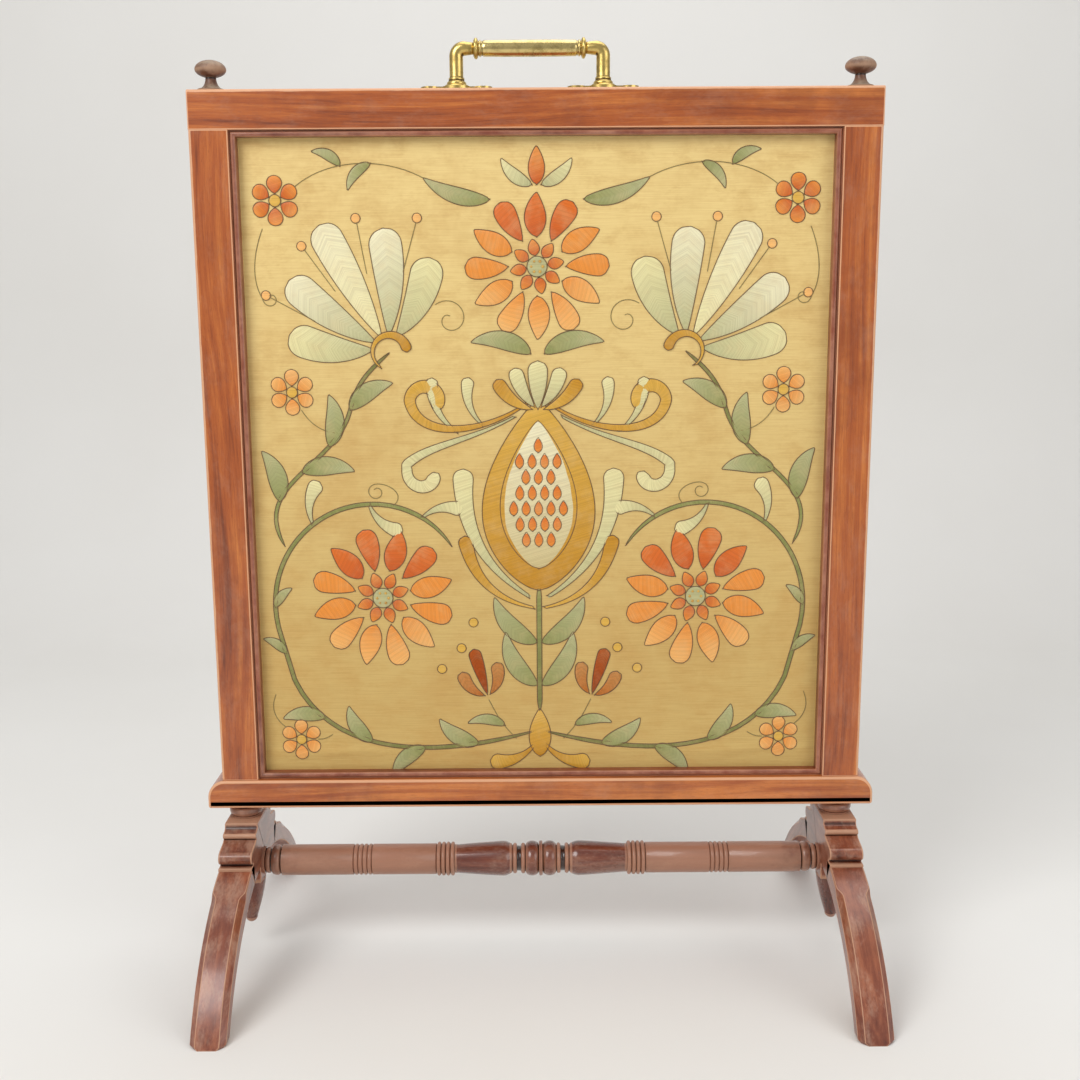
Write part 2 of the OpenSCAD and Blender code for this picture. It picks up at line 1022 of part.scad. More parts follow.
module stretcher_half_turning() {
    plain = stretcher_d / 2;
    ring = ring_d / 2;
    knop = knop_d / 2;
    profile = concat(
        [[0, 0], [0, knop]],
        [[1.2, knop], [1.6, knop - 1.6]],
        half_round(1.6, knop_half - 1.6, plain * 0.84, knop, 8),
        half_round(knop_half, 4, plain * 0.86, plain, 4),
        [[knop_half + 5.5, plain * 0.84]],
        half_round(fillet_end - 5, 4, plain * 0.86, plain, 4),
        vase_points(),
        rings(vase_end, ring_b_end - vase_end, 4, plain * 0.9, ring),
        [[ring_b_end, plain], [ring_a_start, plain]],
        rings(ring_a_start, ring_a_end - ring_a_start, 4, plain * 0.9, plain),
        [[ring_a_end, plain], [stretcher_half - end_rings, plain]],
        [[stretcher_half - end_rings + 0.6, plain * 0.74]],
        half_round(stretcher_half - end_rings + 1.2, 8.5, plain * 0.78, plain * 0.98, 6),
        half_round(stretcher_half - 6.5, 4.5, plain * 0.72, plain * 0.84, 4),
        [[stretcher_half - 1.6, plain * 0.9], [stretcher_half, plain * 0.9], [stretcher_half, 0]]
    );
    rotate([0, 90, 0])
        rotate_extrude()
            polygon(turned(profile));
}

// The vase, from its full end by the knop to its thin end by the rings
function vase_points() =
    let (plain = stretcher_d / 2, full = knop_d / 2, w = vase_end - fillet_end)
    [for (i = [0 : 12]) let (t = i / 12)
        [fillet_end + w * t, t < 0.15
            ? plain + (full - plain) * sin(90 * t / 0.15)
            : full - (full - plain * 0.92) * pow((t - 0.15) / 0.85, 1.15)]];

module stretcher() {
    color(dark_mahogany)
        translate([0, 0, stretcher_z]) {
            stretcher_half_turning();
            mirror([1, 0, 0])
                stretcher_half_turning();
            for (side = [0, 1])
                mirror([side, 0, 0])
                    translate([stretcher_half - cut, 0, 0])
                        rotate([0, 90, 0])
                            cylinder(h = stretcher_spigot_len + cut, d = stretcher_spigot);
        }
}

top_rail();
left_stile();
right_stile();
base_rail();
moulding_top();
moulding_bottom();
moulding_left();
moulding_right();
silk_panel();
strainer_top();
strainer_bottom();
strainer_left();
strainer_right();
silk_tacks();
back_board();
back_bead_top();
back_bead_bottom();
back_bead_left();
back_bead_right();
back_brads();
finial_left();
finial_right();
handle_grip();
handle_rod();
handle_collar_left();
handle_collar_right();
handle_post_left();
handle_post_right();
handle_plate_left();
handle_plate_right();
handle_screws();
collar_left();
collar_right();
head_left();
head_right();
drop_left();
drop_right();
front_leg_left();
front_leg_right();
rear_leg_left();
rear_leg_right();
leg_dowels();
stretcher();
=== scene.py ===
"""The looks of an embroidered fire screen: a polished frame, a brass carrying handle, turned trestle
ends and a silk panel. Sizes are in millimetres and become metres when a mesh is made. +X is the
viewer's right, +Y the back, +Z up, and the embroidered side faces -Y."""

from __future__ import annotations

import logging
import math
import random
from dataclasses import dataclass, field, replace
from enum import Enum
from typing import Callable, Iterable, Sequence

import bmesh
import bpy
import numpy as np
from mathutils import Matrix, Vector, noise

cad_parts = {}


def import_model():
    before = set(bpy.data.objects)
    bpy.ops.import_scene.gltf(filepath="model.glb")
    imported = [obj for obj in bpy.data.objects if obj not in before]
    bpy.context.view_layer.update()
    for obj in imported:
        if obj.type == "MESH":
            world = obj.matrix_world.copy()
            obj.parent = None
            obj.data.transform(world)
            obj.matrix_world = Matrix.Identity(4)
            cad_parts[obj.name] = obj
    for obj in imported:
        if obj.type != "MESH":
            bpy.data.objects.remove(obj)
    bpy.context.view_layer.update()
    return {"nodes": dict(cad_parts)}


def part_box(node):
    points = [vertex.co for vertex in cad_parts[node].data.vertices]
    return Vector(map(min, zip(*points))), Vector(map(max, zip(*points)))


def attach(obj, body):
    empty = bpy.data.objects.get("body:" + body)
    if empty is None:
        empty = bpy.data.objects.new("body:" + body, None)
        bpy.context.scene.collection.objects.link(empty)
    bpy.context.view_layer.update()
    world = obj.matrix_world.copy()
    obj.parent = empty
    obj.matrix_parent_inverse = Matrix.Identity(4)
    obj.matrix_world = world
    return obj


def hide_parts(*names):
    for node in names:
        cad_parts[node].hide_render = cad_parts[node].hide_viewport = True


LOG = logging.getLogger("fire_screen")
MM = 0.001
SEED = 1907
BODY = "root"

Flat = tuple[float, float]
Colour = tuple[float, float, float]
Ring = list[Vector]
Socket = bpy.types.NodeSocket


def srgb(red: float, green: float, blue: float) -> Colour:
    """A colour read as 0 to 255, as the linear values that shaders take."""
    return tuple(
        c / 12.92 if c <= 0.04045 else ((c + 0.055) / 1.055) ** 2.4
        for c in (red / 255, green / 255, blue / 255)
    )


def rgba(colour: Colour) -> tuple[float, float, float, float]:
    """A colour with full alpha."""
    return (*colour, 1.0)


def smooth(value: float, low: float, high: float) -> float:
    """0 below low, 1 above high and an S curve between them."""
    t = min(1.0, max(0.0, (value - low) / (high - low)))
    return t * t * (3 - 2 * t)


@dataclass(frozen=True)
class Box:
    """A CAD node's corners in millimetres."""

    low: Vector
    high: Vector

    @classmethod
    def of(cls, node: str) -> Box:
        """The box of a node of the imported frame."""
        low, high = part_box(node)
        return cls(low / MM, high / MM)

    @property
    def size(self) -> Vector:
        """Width, depth and height."""
        return self.high - self.low

    @property
    def mid(self) -> Vector:
        """The middle."""
        return (self.low + self.high) / 2


class Axis(Enum):
    """The direction that a bar runs in, as the places of its length and its section's two axes."""

    X = (0, 1, 2)
    Y = (1, 0, 2)
    Z = (2, 0, 1)

    def point(self, along: float, first: float, second: float) -> Vector:
        """A point from its place along the bar and its place in the section."""
        out = Vector((0, 0, 0))
        for place, value in zip(self.value, (along, first, second)):
            out[place] = value
        return out


# Outlines and solids


def filleted(corners: Sequence[tuple[float, float, float]], steps: int = 4, support: float = 0.8) -> list[Flat]:
    """Rounds a polygon's corners and adds a point on the straight beside each rounding.

    Args:
        corners: Corners in order, each with its radius.
        steps: Faces in each rounding.
        support: Distance from the rounding to the extra point.

    Returns:
        The outline's points.
    """
    out: list[Flat] = []
    for i, (x, y, r) in enumerate(corners):
        here = Vector((x, y))
        before = Vector(corners[i - 1][:2]) - here
        after = Vector(corners[(i + 1) % len(corners)][:2]) - here
        half = before.angle(after) / 2
        cut = r / math.tan(half)
        middle = here + (before.normalized() + after.normalized()).normalized() * (r / math.sin(half))
        start = here + before.normalized() * cut
        end = here + after.normalized() * cut
        room = min(support, 0.4 * max(before.length - cut, 0.0), 0.4 * max(after.length - cut, 0.0))
        out.append(tuple(start + before.normalized() * room))
        a, b = start - middle, end - middle
        turn = math.atan2(a.x * b.y - a.y * b.x, a.dot(b))
        for k in range(steps + 1):
            out.append(tuple(middle + Matrix.Rotation(turn * k / steps, 2) @ a))
        out.append(tuple(end + after.normalized() * room))
    return out


def inset(outline: Sequence[Flat], by: float) -> list[Flat]:
    """Moves each point of a counter-clockwise outline inwards."""
    out = []
    for i, point in enumerate(outline):
        before = Vector(point) - Vector(outline[i - 1])
        after = Vector(outline[(i + 1) % len(outline)]) - Vector(point)
        a = Vector((-before.y, before.x)).normalized()
        b = Vector((-after.y, after.x)).normalized()
        mitre = a + b
        length = mitre.length
        shift = mitre / length * by / max(length / 2, 0.5) if length > 1e-6 else a * by
        out.append(tuple(Vector(point) + shift))
    return out


def counter_clockwise(outline: list[Flat]) -> list[Flat]:
    """The outline, turned round where it runs clockwise."""
    area = sum(a[0] * b[1] - b[0] * a[1] for a, b in zip(outline, outline[1:] + outline[:1]))
    return outline if area > 0 else outline[::-1]


def bar(outline: list[Flat], axis: Axis, start: float, end: float, rounding: float = 0.6, steps: int = 3) -> list[Ring]:
    """Rings of a bar with a constant section and rounded ends."""
    outline = counter_clockwise(outline)
    ends = [(0.0, rounding + 1.0), (0.0, rounding + 0.5)]
    for k in range(steps + 1):
        turn = math.pi / 2 * k / steps
        ends.append((rounding * (1 - math.sin(turn)), rounding * (1 - math.cos(math.pi / 2 - turn))))
    ends = ends[:1] + [(0.0, rounding + 0.3)] + [
        (rounding * (1 - math.cos(math.pi / 2 * k / steps)), rounding * (1 - math.sin(math.pi / 2 * k / steps)))
        for k in range(steps + 1)
    ]
    ends.append((rounding + 0.8, 0.0))
    rings = []
    for place, sign, order in ((start, 1, ends), (end, -1, ends[::-1])):
        for along, inwards in order:
            flat = inset(outline, inwards) if inwards else outline
            rings.append([axis.point(place + sign * along, *p) for p in flat])
    return rings


def loft(rings: Sequence[Ring], cap: bool = True) -> bmesh.types.BMesh:
    """Skins rings of equally many points into a solid whose faces point outwards.

    Args:
        rings: The rings in order, in millimetres.
        cap: Whether the first and the last ring are closed.

    Returns:
        The solid.
    """
    solid = bmesh.new()
    rows = [[solid.verts.new(p * MM) for p in ring] for ring in rings]
    count = len(rings[0])
    for low, high in zip(rows, rows[1:]):
        for i in range(count):
            j = (i + 1) % count
            solid.faces.new((low[i], low[j], high[j], high[i]))
    if cap:
        solid.faces.new(rows[0][::-1])
        solid.faces.new(rows[-1])
    bmesh.ops.remove_doubles(solid, verts=solid.verts, dist=0.002 * MM)
    bmesh.ops.dissolve_degenerate(solid, edges=solid.edges, dist=0.001 * MM)
    bmesh.ops.recalc_face_normals(solid, faces=solid.faces)
    return solid


def write_attribute(mesh: bpy.types.Mesh, name: str, kind: str, values: np.ndarray) -> None:
    """Stores one value for each vertex of a mesh."""
    layer = mesh.attributes.new(name, kind, "POINT")
    slot = {"FLOAT": "value", "FLOAT_VECTOR": "vector", "FLOAT_COLOR": "color"}[kind]
    layer.data.foreach_set(slot, np.ascontiguousarray(values, np.float32).ravel())


def vertex_array(mesh: bpy.types.Mesh) -> np.ndarray:
    """A mesh's vertices in millimetres, one row each."""
    points = np.empty(len(mesh.vertices) * 3, np.float32)
    mesh.vertices.foreach_get("co", points)
    return points.reshape(-1, 3) / MM


def mark_edges(mesh: bpy.types.Mesh, reach: float = 3.0) -> None:
    """Stores how sharply each vertex bends: above 0 on an arris, below 0 in a groove.

    Args:
        mesh: The mesh, which gets the attribute "edge".
        reach: The radius in millimetres below which a bend counts in full.
    """
    points = vertex_array(mesh)
    normals = np.empty(len(points) * 3, np.float32)
    mesh.vertices.foreach_get("normal", normals)
    normals = normals.reshape(-1, 3)
    pairs = np.empty(len(mesh.edges) * 2, np.int32)
    mesh.edges.foreach_get("vertices", pairs)
    pairs = pairs.reshape(-1, 2)
    total, count = np.zeros(len(points)), np.zeros(len(points))
    for here, there in ((0, 1), (1, 0)):
        a, b = pairs[:, here], pairs[:, there]
        step = points[b] - points[a]
        bend = -(normals[a] * step).sum(1) / np.maximum((step**2).sum(1), 1e-4)
        np.add.at(total, a, bend)
        np.add.at(count, a, 1)
    write_attribute(mesh, "edge", "FLOAT", np.clip(2 * reach * total / np.maximum(count, 1), -1, 1))


def mark_grain(mesh: bpy.types.Mesh, along: Vector, key: str) -> None:
    """Stores each vertex's place in the plank that the piece was cut from, in metres.

    Args:
        mesh: The mesh, which gets the attribute "grain".
        along: The direction of the grain.
        key: A name that picks the place in the plank.
    """
    turn = along.normalized().rotation_difference(Vector((1, 0, 0))).to_matrix()
    pick = random.Random(f"{SEED}{key}")
    shift = np.array([pick.uniform(0, 9) for _ in range(3)])
    write_attribute(mesh, "grain", "FLOAT_VECTOR", vertex_array(mesh) * MM @ np.array(turn).T + shift)


def new_object(name: str, mesh: bpy.types.Mesh) -> bpy.types.Object:
    """Links a mesh into the scene as an object at the origin."""
    mesh.name = name
    made = bpy.data.objects.new(name, mesh)
    bpy.context.scene.collection.objects.link(made)
    return made


def to_mesh(name: str, solids: Iterable[bmesh.types.BMesh]) -> bpy.types.Mesh:
    """Joins solids into one mesh."""
    joined = bmesh.new()
    for solid in solids:
        part = bpy.data.meshes.new("part")
        solid.to_mesh(part)
        solid.free()
        joined.from_mesh(part)
        bpy.data.meshes.remove(part)
    mesh = bpy.data.meshes.new(name)
    joined.to_mesh(mesh)
    joined.free()
    return mesh


def hand_over(piece: bpy.types.Object, slot: str, nodes: Sequence[str] = ()) -> bpy.types.Object:
    """Attaches a piece to the body that it rides on, hides the CAD nodes that it stands for and logs its material slot.
    """
    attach(piece, BODY)
    if nodes:
        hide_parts(*nodes)
    LOG.info("%s: %d faces, slot %s", piece.name, len(piece.data.polygons), slot)
    return piece


def wooden(
    name: str,
    mesh: bpy.types.Mesh,
    finish: bpy.types.Material,
    along: Vector,
    slot: str,
    nodes: Sequence[str],
    crease: float = 38.0,
) -> bpy.types.Object:
    """Makes a finished piece of wood or metal from its mesh.

    Args:
        name: The piece's name.
        mesh: Its mesh.
        finish: Its material.
        along: The direction of its grain.
        slot: The material slot's name, which is only logged.
        nodes: The CAD nodes that it stands for.
        crease: The angle in degrees above which an edge stays sharp.

    Returns:
        The piece.
    """
    mesh.shade_smooth()
    mesh.set_sharp_from_angle(angle=math.radians(crease))
    mark_edges(mesh)
    mark_grain(mesh, along, name)
    mesh.materials.clear()
    mesh.materials.append(finish)
    return hand_over(new_object(name, mesh), slot, nodes)


# Node trees


class Graph:
    """Short calls that build a shader or a geometry node tree."""

    def __init__(self, tree: bpy.types.NodeTree) -> None:
        """Starts on a tree."""
        self.tree = tree

    def add(self, kind: str, inputs: dict | None = None, out: int | str = 0, **settings: object) -> Socket:
        """Adds a node.

        Args:
            kind: The node's type.
            inputs: Values or sockets by the input's name or place.
            out: The output to return.
            **settings: The node's own properties.

        Returns:
            The chosen output.
        """
        node = self.tree.nodes.new(kind)
        for key, value in settings.items():
            setattr(node, key, value)
        for key, value in (inputs or {}).items():
            if isinstance(value, bpy.types.NodeSocket):
                self.tree.links.new(value, node.inputs[key])
            else:
                node.inputs[key].default_value = value
        return node.outputs[out] if node.outputs else node.inputs[0]

    def math(self, operation: str, a: object, b: object = 0.0, clamp: bool = False) -> Socket:
        """A sum, product or other function of one or two numbers."""
        return self.add("ShaderNodeMath", {0: a, 1: b}, operation=operation, use_clamp=clamp)

    def scaled(self, vector: Socket, factors: tuple[float, float, float]) -> Socket:
        """A vector times another, part by part."""
        return self.add("ShaderNodeVectorMath", {0: vector, 1: factors}, operation="MULTIPLY")

    def noise(self, vector: object, scale: object, detail: float = 2.0, rough: float = 0.5, warp: float = 0.0) -> Socket:
        """Cloudy noise from 0 to 1."""
        values = {"Vector": vector, "Scale": scale, "Detail": detail, "Roughness": rough, "Distortion": warp}
        return self.add("ShaderNodeTexNoise", values)

    def span(self, value: object, low: object, high: object, start: float = 0.0, end: float = 1.0) -> Socket:
        """A number eased from one range to another."""
        values = {"Value": value, "From Min": low, "From Max": high, "To Min": start, "To Max": end}
        return self.add("ShaderNodeMapRange", values, interpolation_type="SMOOTHSTEP")

    def mix(self, factor: object, a: object, b: object, blend: str = "MIX") -> Socket:
        """Two colours mixed."""
        return self.add("ShaderNodeMix", {0: factor, 6: a, 7: b}, 2, data_type="RGBA", blend_type=blend)

    def place(self, group: bpy.types.NodeTree, inputs: dict) -> bpy.types.Node:
        """Places a node group and returns its node."""
        node = self.tree.nodes.new("ShaderNodeGroup")
        node.node_tree = group
        for key, value in inputs.items():
            if isinstance(value, bpy.types.NodeSocket):
                self.tree.links.new(value, node.inputs[key])
            else:
                node.inputs[key].default_value = value
        return node


SOCKETS = {"f": "NodeSocketFloat", "v": "NodeSocketVector", "c": "NodeSocketColor", "g": "NodeSocketGeometry",
           "i": "NodeSocketInt", "m": "NodeSocketMaterial"}


def open_group(kind: str, name: str, inputs: dict[str, str], outputs: dict[str, str]) -> tuple[Graph, bpy.types.Node]:
    """Starts a node group with named sockets.

    Args:
        kind: The tree's type.
        name: The group's name.
        inputs: Each input's name and its letter in SOCKETS.
        outputs: The same for the outputs.

    Returns:
        The group's graph and its input node.
    """
    tree = bpy.data.node_groups.new(name, kind)
    for side, sockets in (("INPUT", inputs), ("OUTPUT", outputs)):
        for label, letter in sockets.items():
            tree.interface.new_socket(name=label, in_out=side, socket_type=SOCKETS[letter])
    return Graph(tree), tree.nodes.new("NodeGroupInput")


def close_group(graph: Graph, **outputs: Socket) -> bpy.types.NodeTree:
    """Links a group's outputs and returns its tree."""
    end = graph.tree.nodes.new("NodeGroupOutput")
    for label, value in outputs.items():
        graph.tree.links.new(value, end.inputs[label])
    return graph.tree


class Effects:
    """The shader groups that several finishes share."""

    def __init__(self) -> None:
        """Builds every group once."""
        self.grain = self.make_grain()
        self.wear_and_light = self.make_edge_marks_and_light()
        self.mottle = self.make_mottle()
        self.threads = self.make_threads()

    @staticmethod
    def make_grain() -> bpy.types.NodeTree:
        """Straight wood grain along X: broad figure, streaks, fibres and open pores."""
        inputs = {"Vector": "v", "Light": "c", "Middle": "c", "Dark": "c", "Figure": "f", "Pores": "f"}
        g, start = open_group("ShaderNodeTree", "wood grain", inputs, {"Color": "c", "Height": "f", "Streak": "f"})
        place = start.outputs["Vector"]
        bend = g.noise(g.scaled(place, (2.2, 9, 9)), 1.0, 1.0)
        swayed = g.add(
            "ShaderNodeVectorMath",
            {0: place, 1: g.scaled(g.add("ShaderNodeCombineXYZ", {"Y": bend, "Z": bend}), (0, 0.03, 0.03))},
            operation="ADD",
        )
        figure = g.noise(g.scaled(swayed, (1.6, 30, 30)), 1.0, 3.0, 0.55)
        streak = g.noise(g.scaled(swayed, (5, 190, 190)), start.outputs["Figure"], 3.0, 0.6, 0.3)
        fibre = g.noise(g.scaled(swayed, (30, 1400, 1400)), 1.0, 2.0, 0.5)
        pores = g.span(g.noise(g.scaled(swayed, (130, 3600, 3600)), 1.0, 1.0), 0.6, 0.74)
        pores = g.math("MULTIPLY", pores, start.outputs["Pores"])
        tone = g.math("ADD", g.math("MULTIPLY", figure, 0.55), g.math("MULTIPLY", streak, 0.6))
        tone = g.math("ADD", tone, g.math("MULTIPLY", fibre, 0.16))
        lower = g.mix(g.span(tone, 0.42, 0.64), start.outputs["Dark"], start.outputs["Middle"])
        colour = g.mix(g.span(tone, 0.6, 0.84), lower, start.outputs["Light"])
        colour = g.mix(g.math("MULTIPLY", pores, 0.6), colour, start.outputs["Dark"])
        height = g.math("SUBTRACT", g.math("MULTIPLY", fibre, 0.25), pores)
        return close_group(g, Color=colour, Height=height, Streak=streak)

    @staticmethod
    def make_edge_marks_and_light() -> bpy.types.NodeTree:
        """Pale arrises, partly bare surface and partly a painted highlight, and dark grooves, partly soiling and partly
        painted shade, from the piece's "edge" attribute.
        """
        inputs = {"Vector": "v", "Color": "c", "Worn": "c", "Dirt_Shade_Colour": "c", "Wear_And_Light": "f", "Grime": "f"}
        g, start = open_group("ShaderNodeTree", "edge marks and painted light", inputs, {"Color": "c", "Worn": "f", "Grime": "f"})
        place = start.outputs["Vector"]
        edge = g.add("ShaderNodeAttribute", out="Fac", attribute_name="edge")
        ragged = g.math("SUBTRACT", g.noise(place, 55.0, 4.0, 0.65), 0.5)
        bent = g.math("ADD", edge, g.math("MULTIPLY", ragged, 0.55))
        # Pale arrises: partly rubbed bare, partly a painted highlight where an arris catches the light.
        worn_and_lit = g.math("MULTIPLY", g.span(bent, 0.2, 0.55), start.outputs["Wear_And_Light"], True)
        # Dark grooves: partly soiling, partly painted shade.
        hollow = g.math("SUBTRACT", g.math("MULTIPLY", ragged, 0.3), edge)
        groove_dirt_shade = g.math("MULTIPLY", g.span(hollow, 0.06, 0.5), start.outputs["Grime"], True)
        colour = g.mix(worn_and_lit, start.outputs["Color"], start.outputs["Worn"])
        colour = g.mix(groove_dirt_shade, colour, start.outputs["Dirt_Shade_Colour"])
        return close_group(g, Color=colour, Worn=worn_and_lit, Grime=groove_dirt_shade)

    @staticmethod
    def make_mottle() -> bpy.types.NodeTree:
        """Soft blotches of another colour, and the fine specks between them."""
        inputs = {"Vector": "v", "Color": "c", "Blotch": "c", "Amount": "f", "Scale": "f"}
        g, start = open_group("ShaderNodeTree", "mottle", inputs, {"Color": "c", "Mask": "f"})
        place = start.outputs["Vector"]
        cloud = g.noise(place, start.outputs["Scale"], 4.0, 0.6, 0.4)
        fine = g.noise(place, g.math("MULTIPLY", start.outputs["Scale"], 9.0), 2.0, 0.6)
        both = g.math("ADD", g.math("MULTIPLY", cloud, 0.78), g.math("MULTIPLY", fine, 0.22))
        mask = g.math("MULTIPLY", g.span(both, 0.45, 0.68), start.outputs["Amount"], True)
        colour = g.mix(mask, start.outputs["Color"], start.outputs["Blotch"])
        return close_group(g, Color=colour, Mask=mask)

    @staticmethod
    def make_threads() -> bpy.types.NodeTree:
        """Threads side by side along a number in millimetres, each with its own shade."""
        inputs = {"Place": "f", "Pitch": "f"}
        g, start = open_group("ShaderNodeTree", "threads", inputs, {"Height": "f", "Shade": "f"})
        turns = g.math("DIVIDE", start.outputs["Place"], start.outputs["Pitch"])
        round_top = g.math("ABSOLUTE", g.math("SINE", g.math("MULTIPLY", turns, math.pi)))
        number = g.math("FLOOR", turns)
        shade = g.add("ShaderNodeTexWhiteNoise", {"W": number}, noise_dimensions="1D")
        return close_group(g, Height=g.math("POWER", round_top, 0.6), Shade=shade)


def new_material(name: str) -> tuple[bpy.types.Material, Graph, bpy.types.Node]:
    """A material with its graph and its Principled shader."""
    material = bpy.data.materials.new(name)
    material.use_nodes = True
    graph = Graph(material.node_tree)
    return material, graph, material.node_tree.nodes["Principled BSDF"]


def dress(graph: Graph, shader: bpy.types.Node, links: dict[str, Socket], values: dict[str, object]) -> None:
    """Links and sets a shader's sockets."""
    for key, value in links.items():
        graph.tree.links.new(value, shader.inputs[key])
    for key, value in values.items():
        shader.inputs[key].default_value = value


@dataclass(frozen=True)
class Polish:
    """A polished wood.

    The colours run from the palest grain to the darkest, then the pale of rubbed arrises, partly bare wood
    and partly a painted highlight where an arris catches the light, and the near-black in grooves, partly
    soiling and partly painted shade. scuffs is how much of the surface is rubbed pale, and dust how much
    settles on what faces up. A CAD node has no attributes, so on_node makes it read Object coordinates.
    """

    name: str
    light: Colour
    middle: Colour
    dark: Colour
    worn_and_lit: Colour
    dirt_shade_colour: Colour
    roughness: float = 0.26
    coat: float = 0.5
    wear_and_light: float = 0.8
    groove_dirt_shade: float = 0.7
    scuffs: float = 0.25
    scuffed: Colour = srgb(196, 160, 136)
    dust: float = 0.0
    figure: float = 1.0
    on_node: bool = False

    def build(self, effects: Effects) -> bpy.types.Material:
        """Makes the material."""
        material, g, shader = new_material(self.name)
        if self.on_node:
            place = g.add("ShaderNodeTexCoord", out="Object")
        else:
            place = g.add("ShaderNodeAttribute", out="Vector", attribute_name="grain")
        grain = g.place(effects.grain, {
            "Vector": place, "Light": rgba(self.light), "Middle": rgba(self.middle), "Dark": rgba(self.dark),
            "Figure": self.figure, "Pores": 0.8,
        })
        uneven = g.place(effects.mottle, {
            "Vector": place, "Color": grain.outputs["Color"], "Blotch": rgba(self.dark), "Amount": 0.4, "Scale": 11.0,
        })
        scuffs = g.place(effects.mottle, {
            "Vector": g.scaled(place, (0.6, 1.3, 1.3)), "Color": uneven.outputs["Color"],
            "Blotch": rgba(self.scuffed), "Amount": self.scuffs, "Scale": 46.0,
        })
        # Arrises made paler, partly as a painted highlight, and grooves darker, partly as painted shade.
        edges = g.place(effects.wear_and_light, {
            "Vector": place, "Color": scuffs.outputs["Color"], "Worn": rgba(self.worn_and_lit), "Dirt_Shade_Colour": rgba(self.dirt_shade_colour),
            "Wear_And_Light": self.wear_and_light, "Grime": self.groove_dirt_shade,
        })
        colour = edges.outputs["Color"]
        rubbed = g.math("ADD", edges.outputs["Worn"], scuffs.outputs["Mask"], True)
        if self.dust:
            up = g.add("ShaderNodeSeparateXYZ", {0: g.add("ShaderNodeNewGeometry", out="Normal")}, "Z")
            lying = g.math("MULTIPLY", g.span(up, 0.15, 0.95), g.span(g.noise(place, 160.0, 4.0, 0.7), 0.25, 0.7))
            lying = g.math("MULTIPLY", lying, self.dust)
            colour = g.mix(lying, colour, rgba(srgb(176, 160, 138)))
            rubbed = g.math("ADD", rubbed, lying, True)
        dull = g.math("ADD", g.span(rubbed, 0.0, 1.0, self.roughness, self.roughness + 0.26),
                      g.math("MULTIPLY", g.noise(place, 30.0, 4.0, 0.6), 0.12))
        scratches = g.noise(g.scaled(place, (260, 900, 900)), 1.0, 3.0, 0.7)
        height = g.math("ADD", grain.outputs["Height"], g.math("MULTIPLY", scratches, 0.5))
        height = g.math("ADD", height, g.math("MULTIPLY", g.noise(place, 24.0, 2.0), 5.0))
        bump = g.add("ShaderNodeBump", {"Height": height, "Strength": 0.35, "Distance": 0.00012})
        coat = g.span(rubbed, 0.0, 1.0, self.coat, self.coat * 0.25)
        dress(g, shader, {"Base Color": colour, "Roughness": dull, "Normal": bump, "Coat Weight": coat},
              {"Coat Roughness": 0.13, "Specular IOR Level": 0.45})
        return material


@dataclass(frozen=True)
class Brass:
    """Old brass: bright where hands rub it, brown where they don't."""

    name: str
    bright: Colour
    tarnish: Colour
    brown: Colour
    roughness: float = 0.3
    scale: float = 60.0
    on_node: bool = False

    def build(self, effects: Effects) -> bpy.types.Material:
        """Makes the material."""
        material, g, shader = new_material(self.name)
        place = g.add("ShaderNodeTexCoord", out="Object")
        film = g.place(effects.mottle, {
            "Vector": place, "Color": rgba(self.bright), "Blotch": rgba(self.tarnish), "Amount": 0.85,
            "Scale": self.scale,
        })
        spots = g.place(effects.mottle, {
            "Vector": place, "Color": film.outputs["Color"], "Blotch": rgba(self.brown), "Amount": 0.4,
            "Scale": self.scale * 4,
        })
        edges = g.place(effects.wear_and_light, {
            "Vector": place, "Color": spots.outputs["Color"], "Worn": rgba(self.bright), "Dirt_Shade_Colour": rgba(self.brown),
            "Wear_And_Light": 0.6, "Grime": 0.9,
        })
        dull = g.math("ADD", g.span(film.outputs["Mask"], 0.0, 1.0, self.roughness, self.roughness + 0.2),
                      g.math("MULTIPLY", edges.outputs["Grime"], 0.2))
        fine = g.noise(place, 900.0, 3.0, 0.7)
        height = g.math("ADD", g.math("MULTIPLY", fine, 0.4), g.noise(place, 120.0, 3.0))
        bump = g.add("ShaderNodeBump", {"Height": height, "Strength": 0.3, "Distance": 0.0002})
        dress(g, shader, {"Base Color": edges.outputs["Color"], "Roughness": dull, "Normal": bump}, {"Metallic": 1.0})
        return material


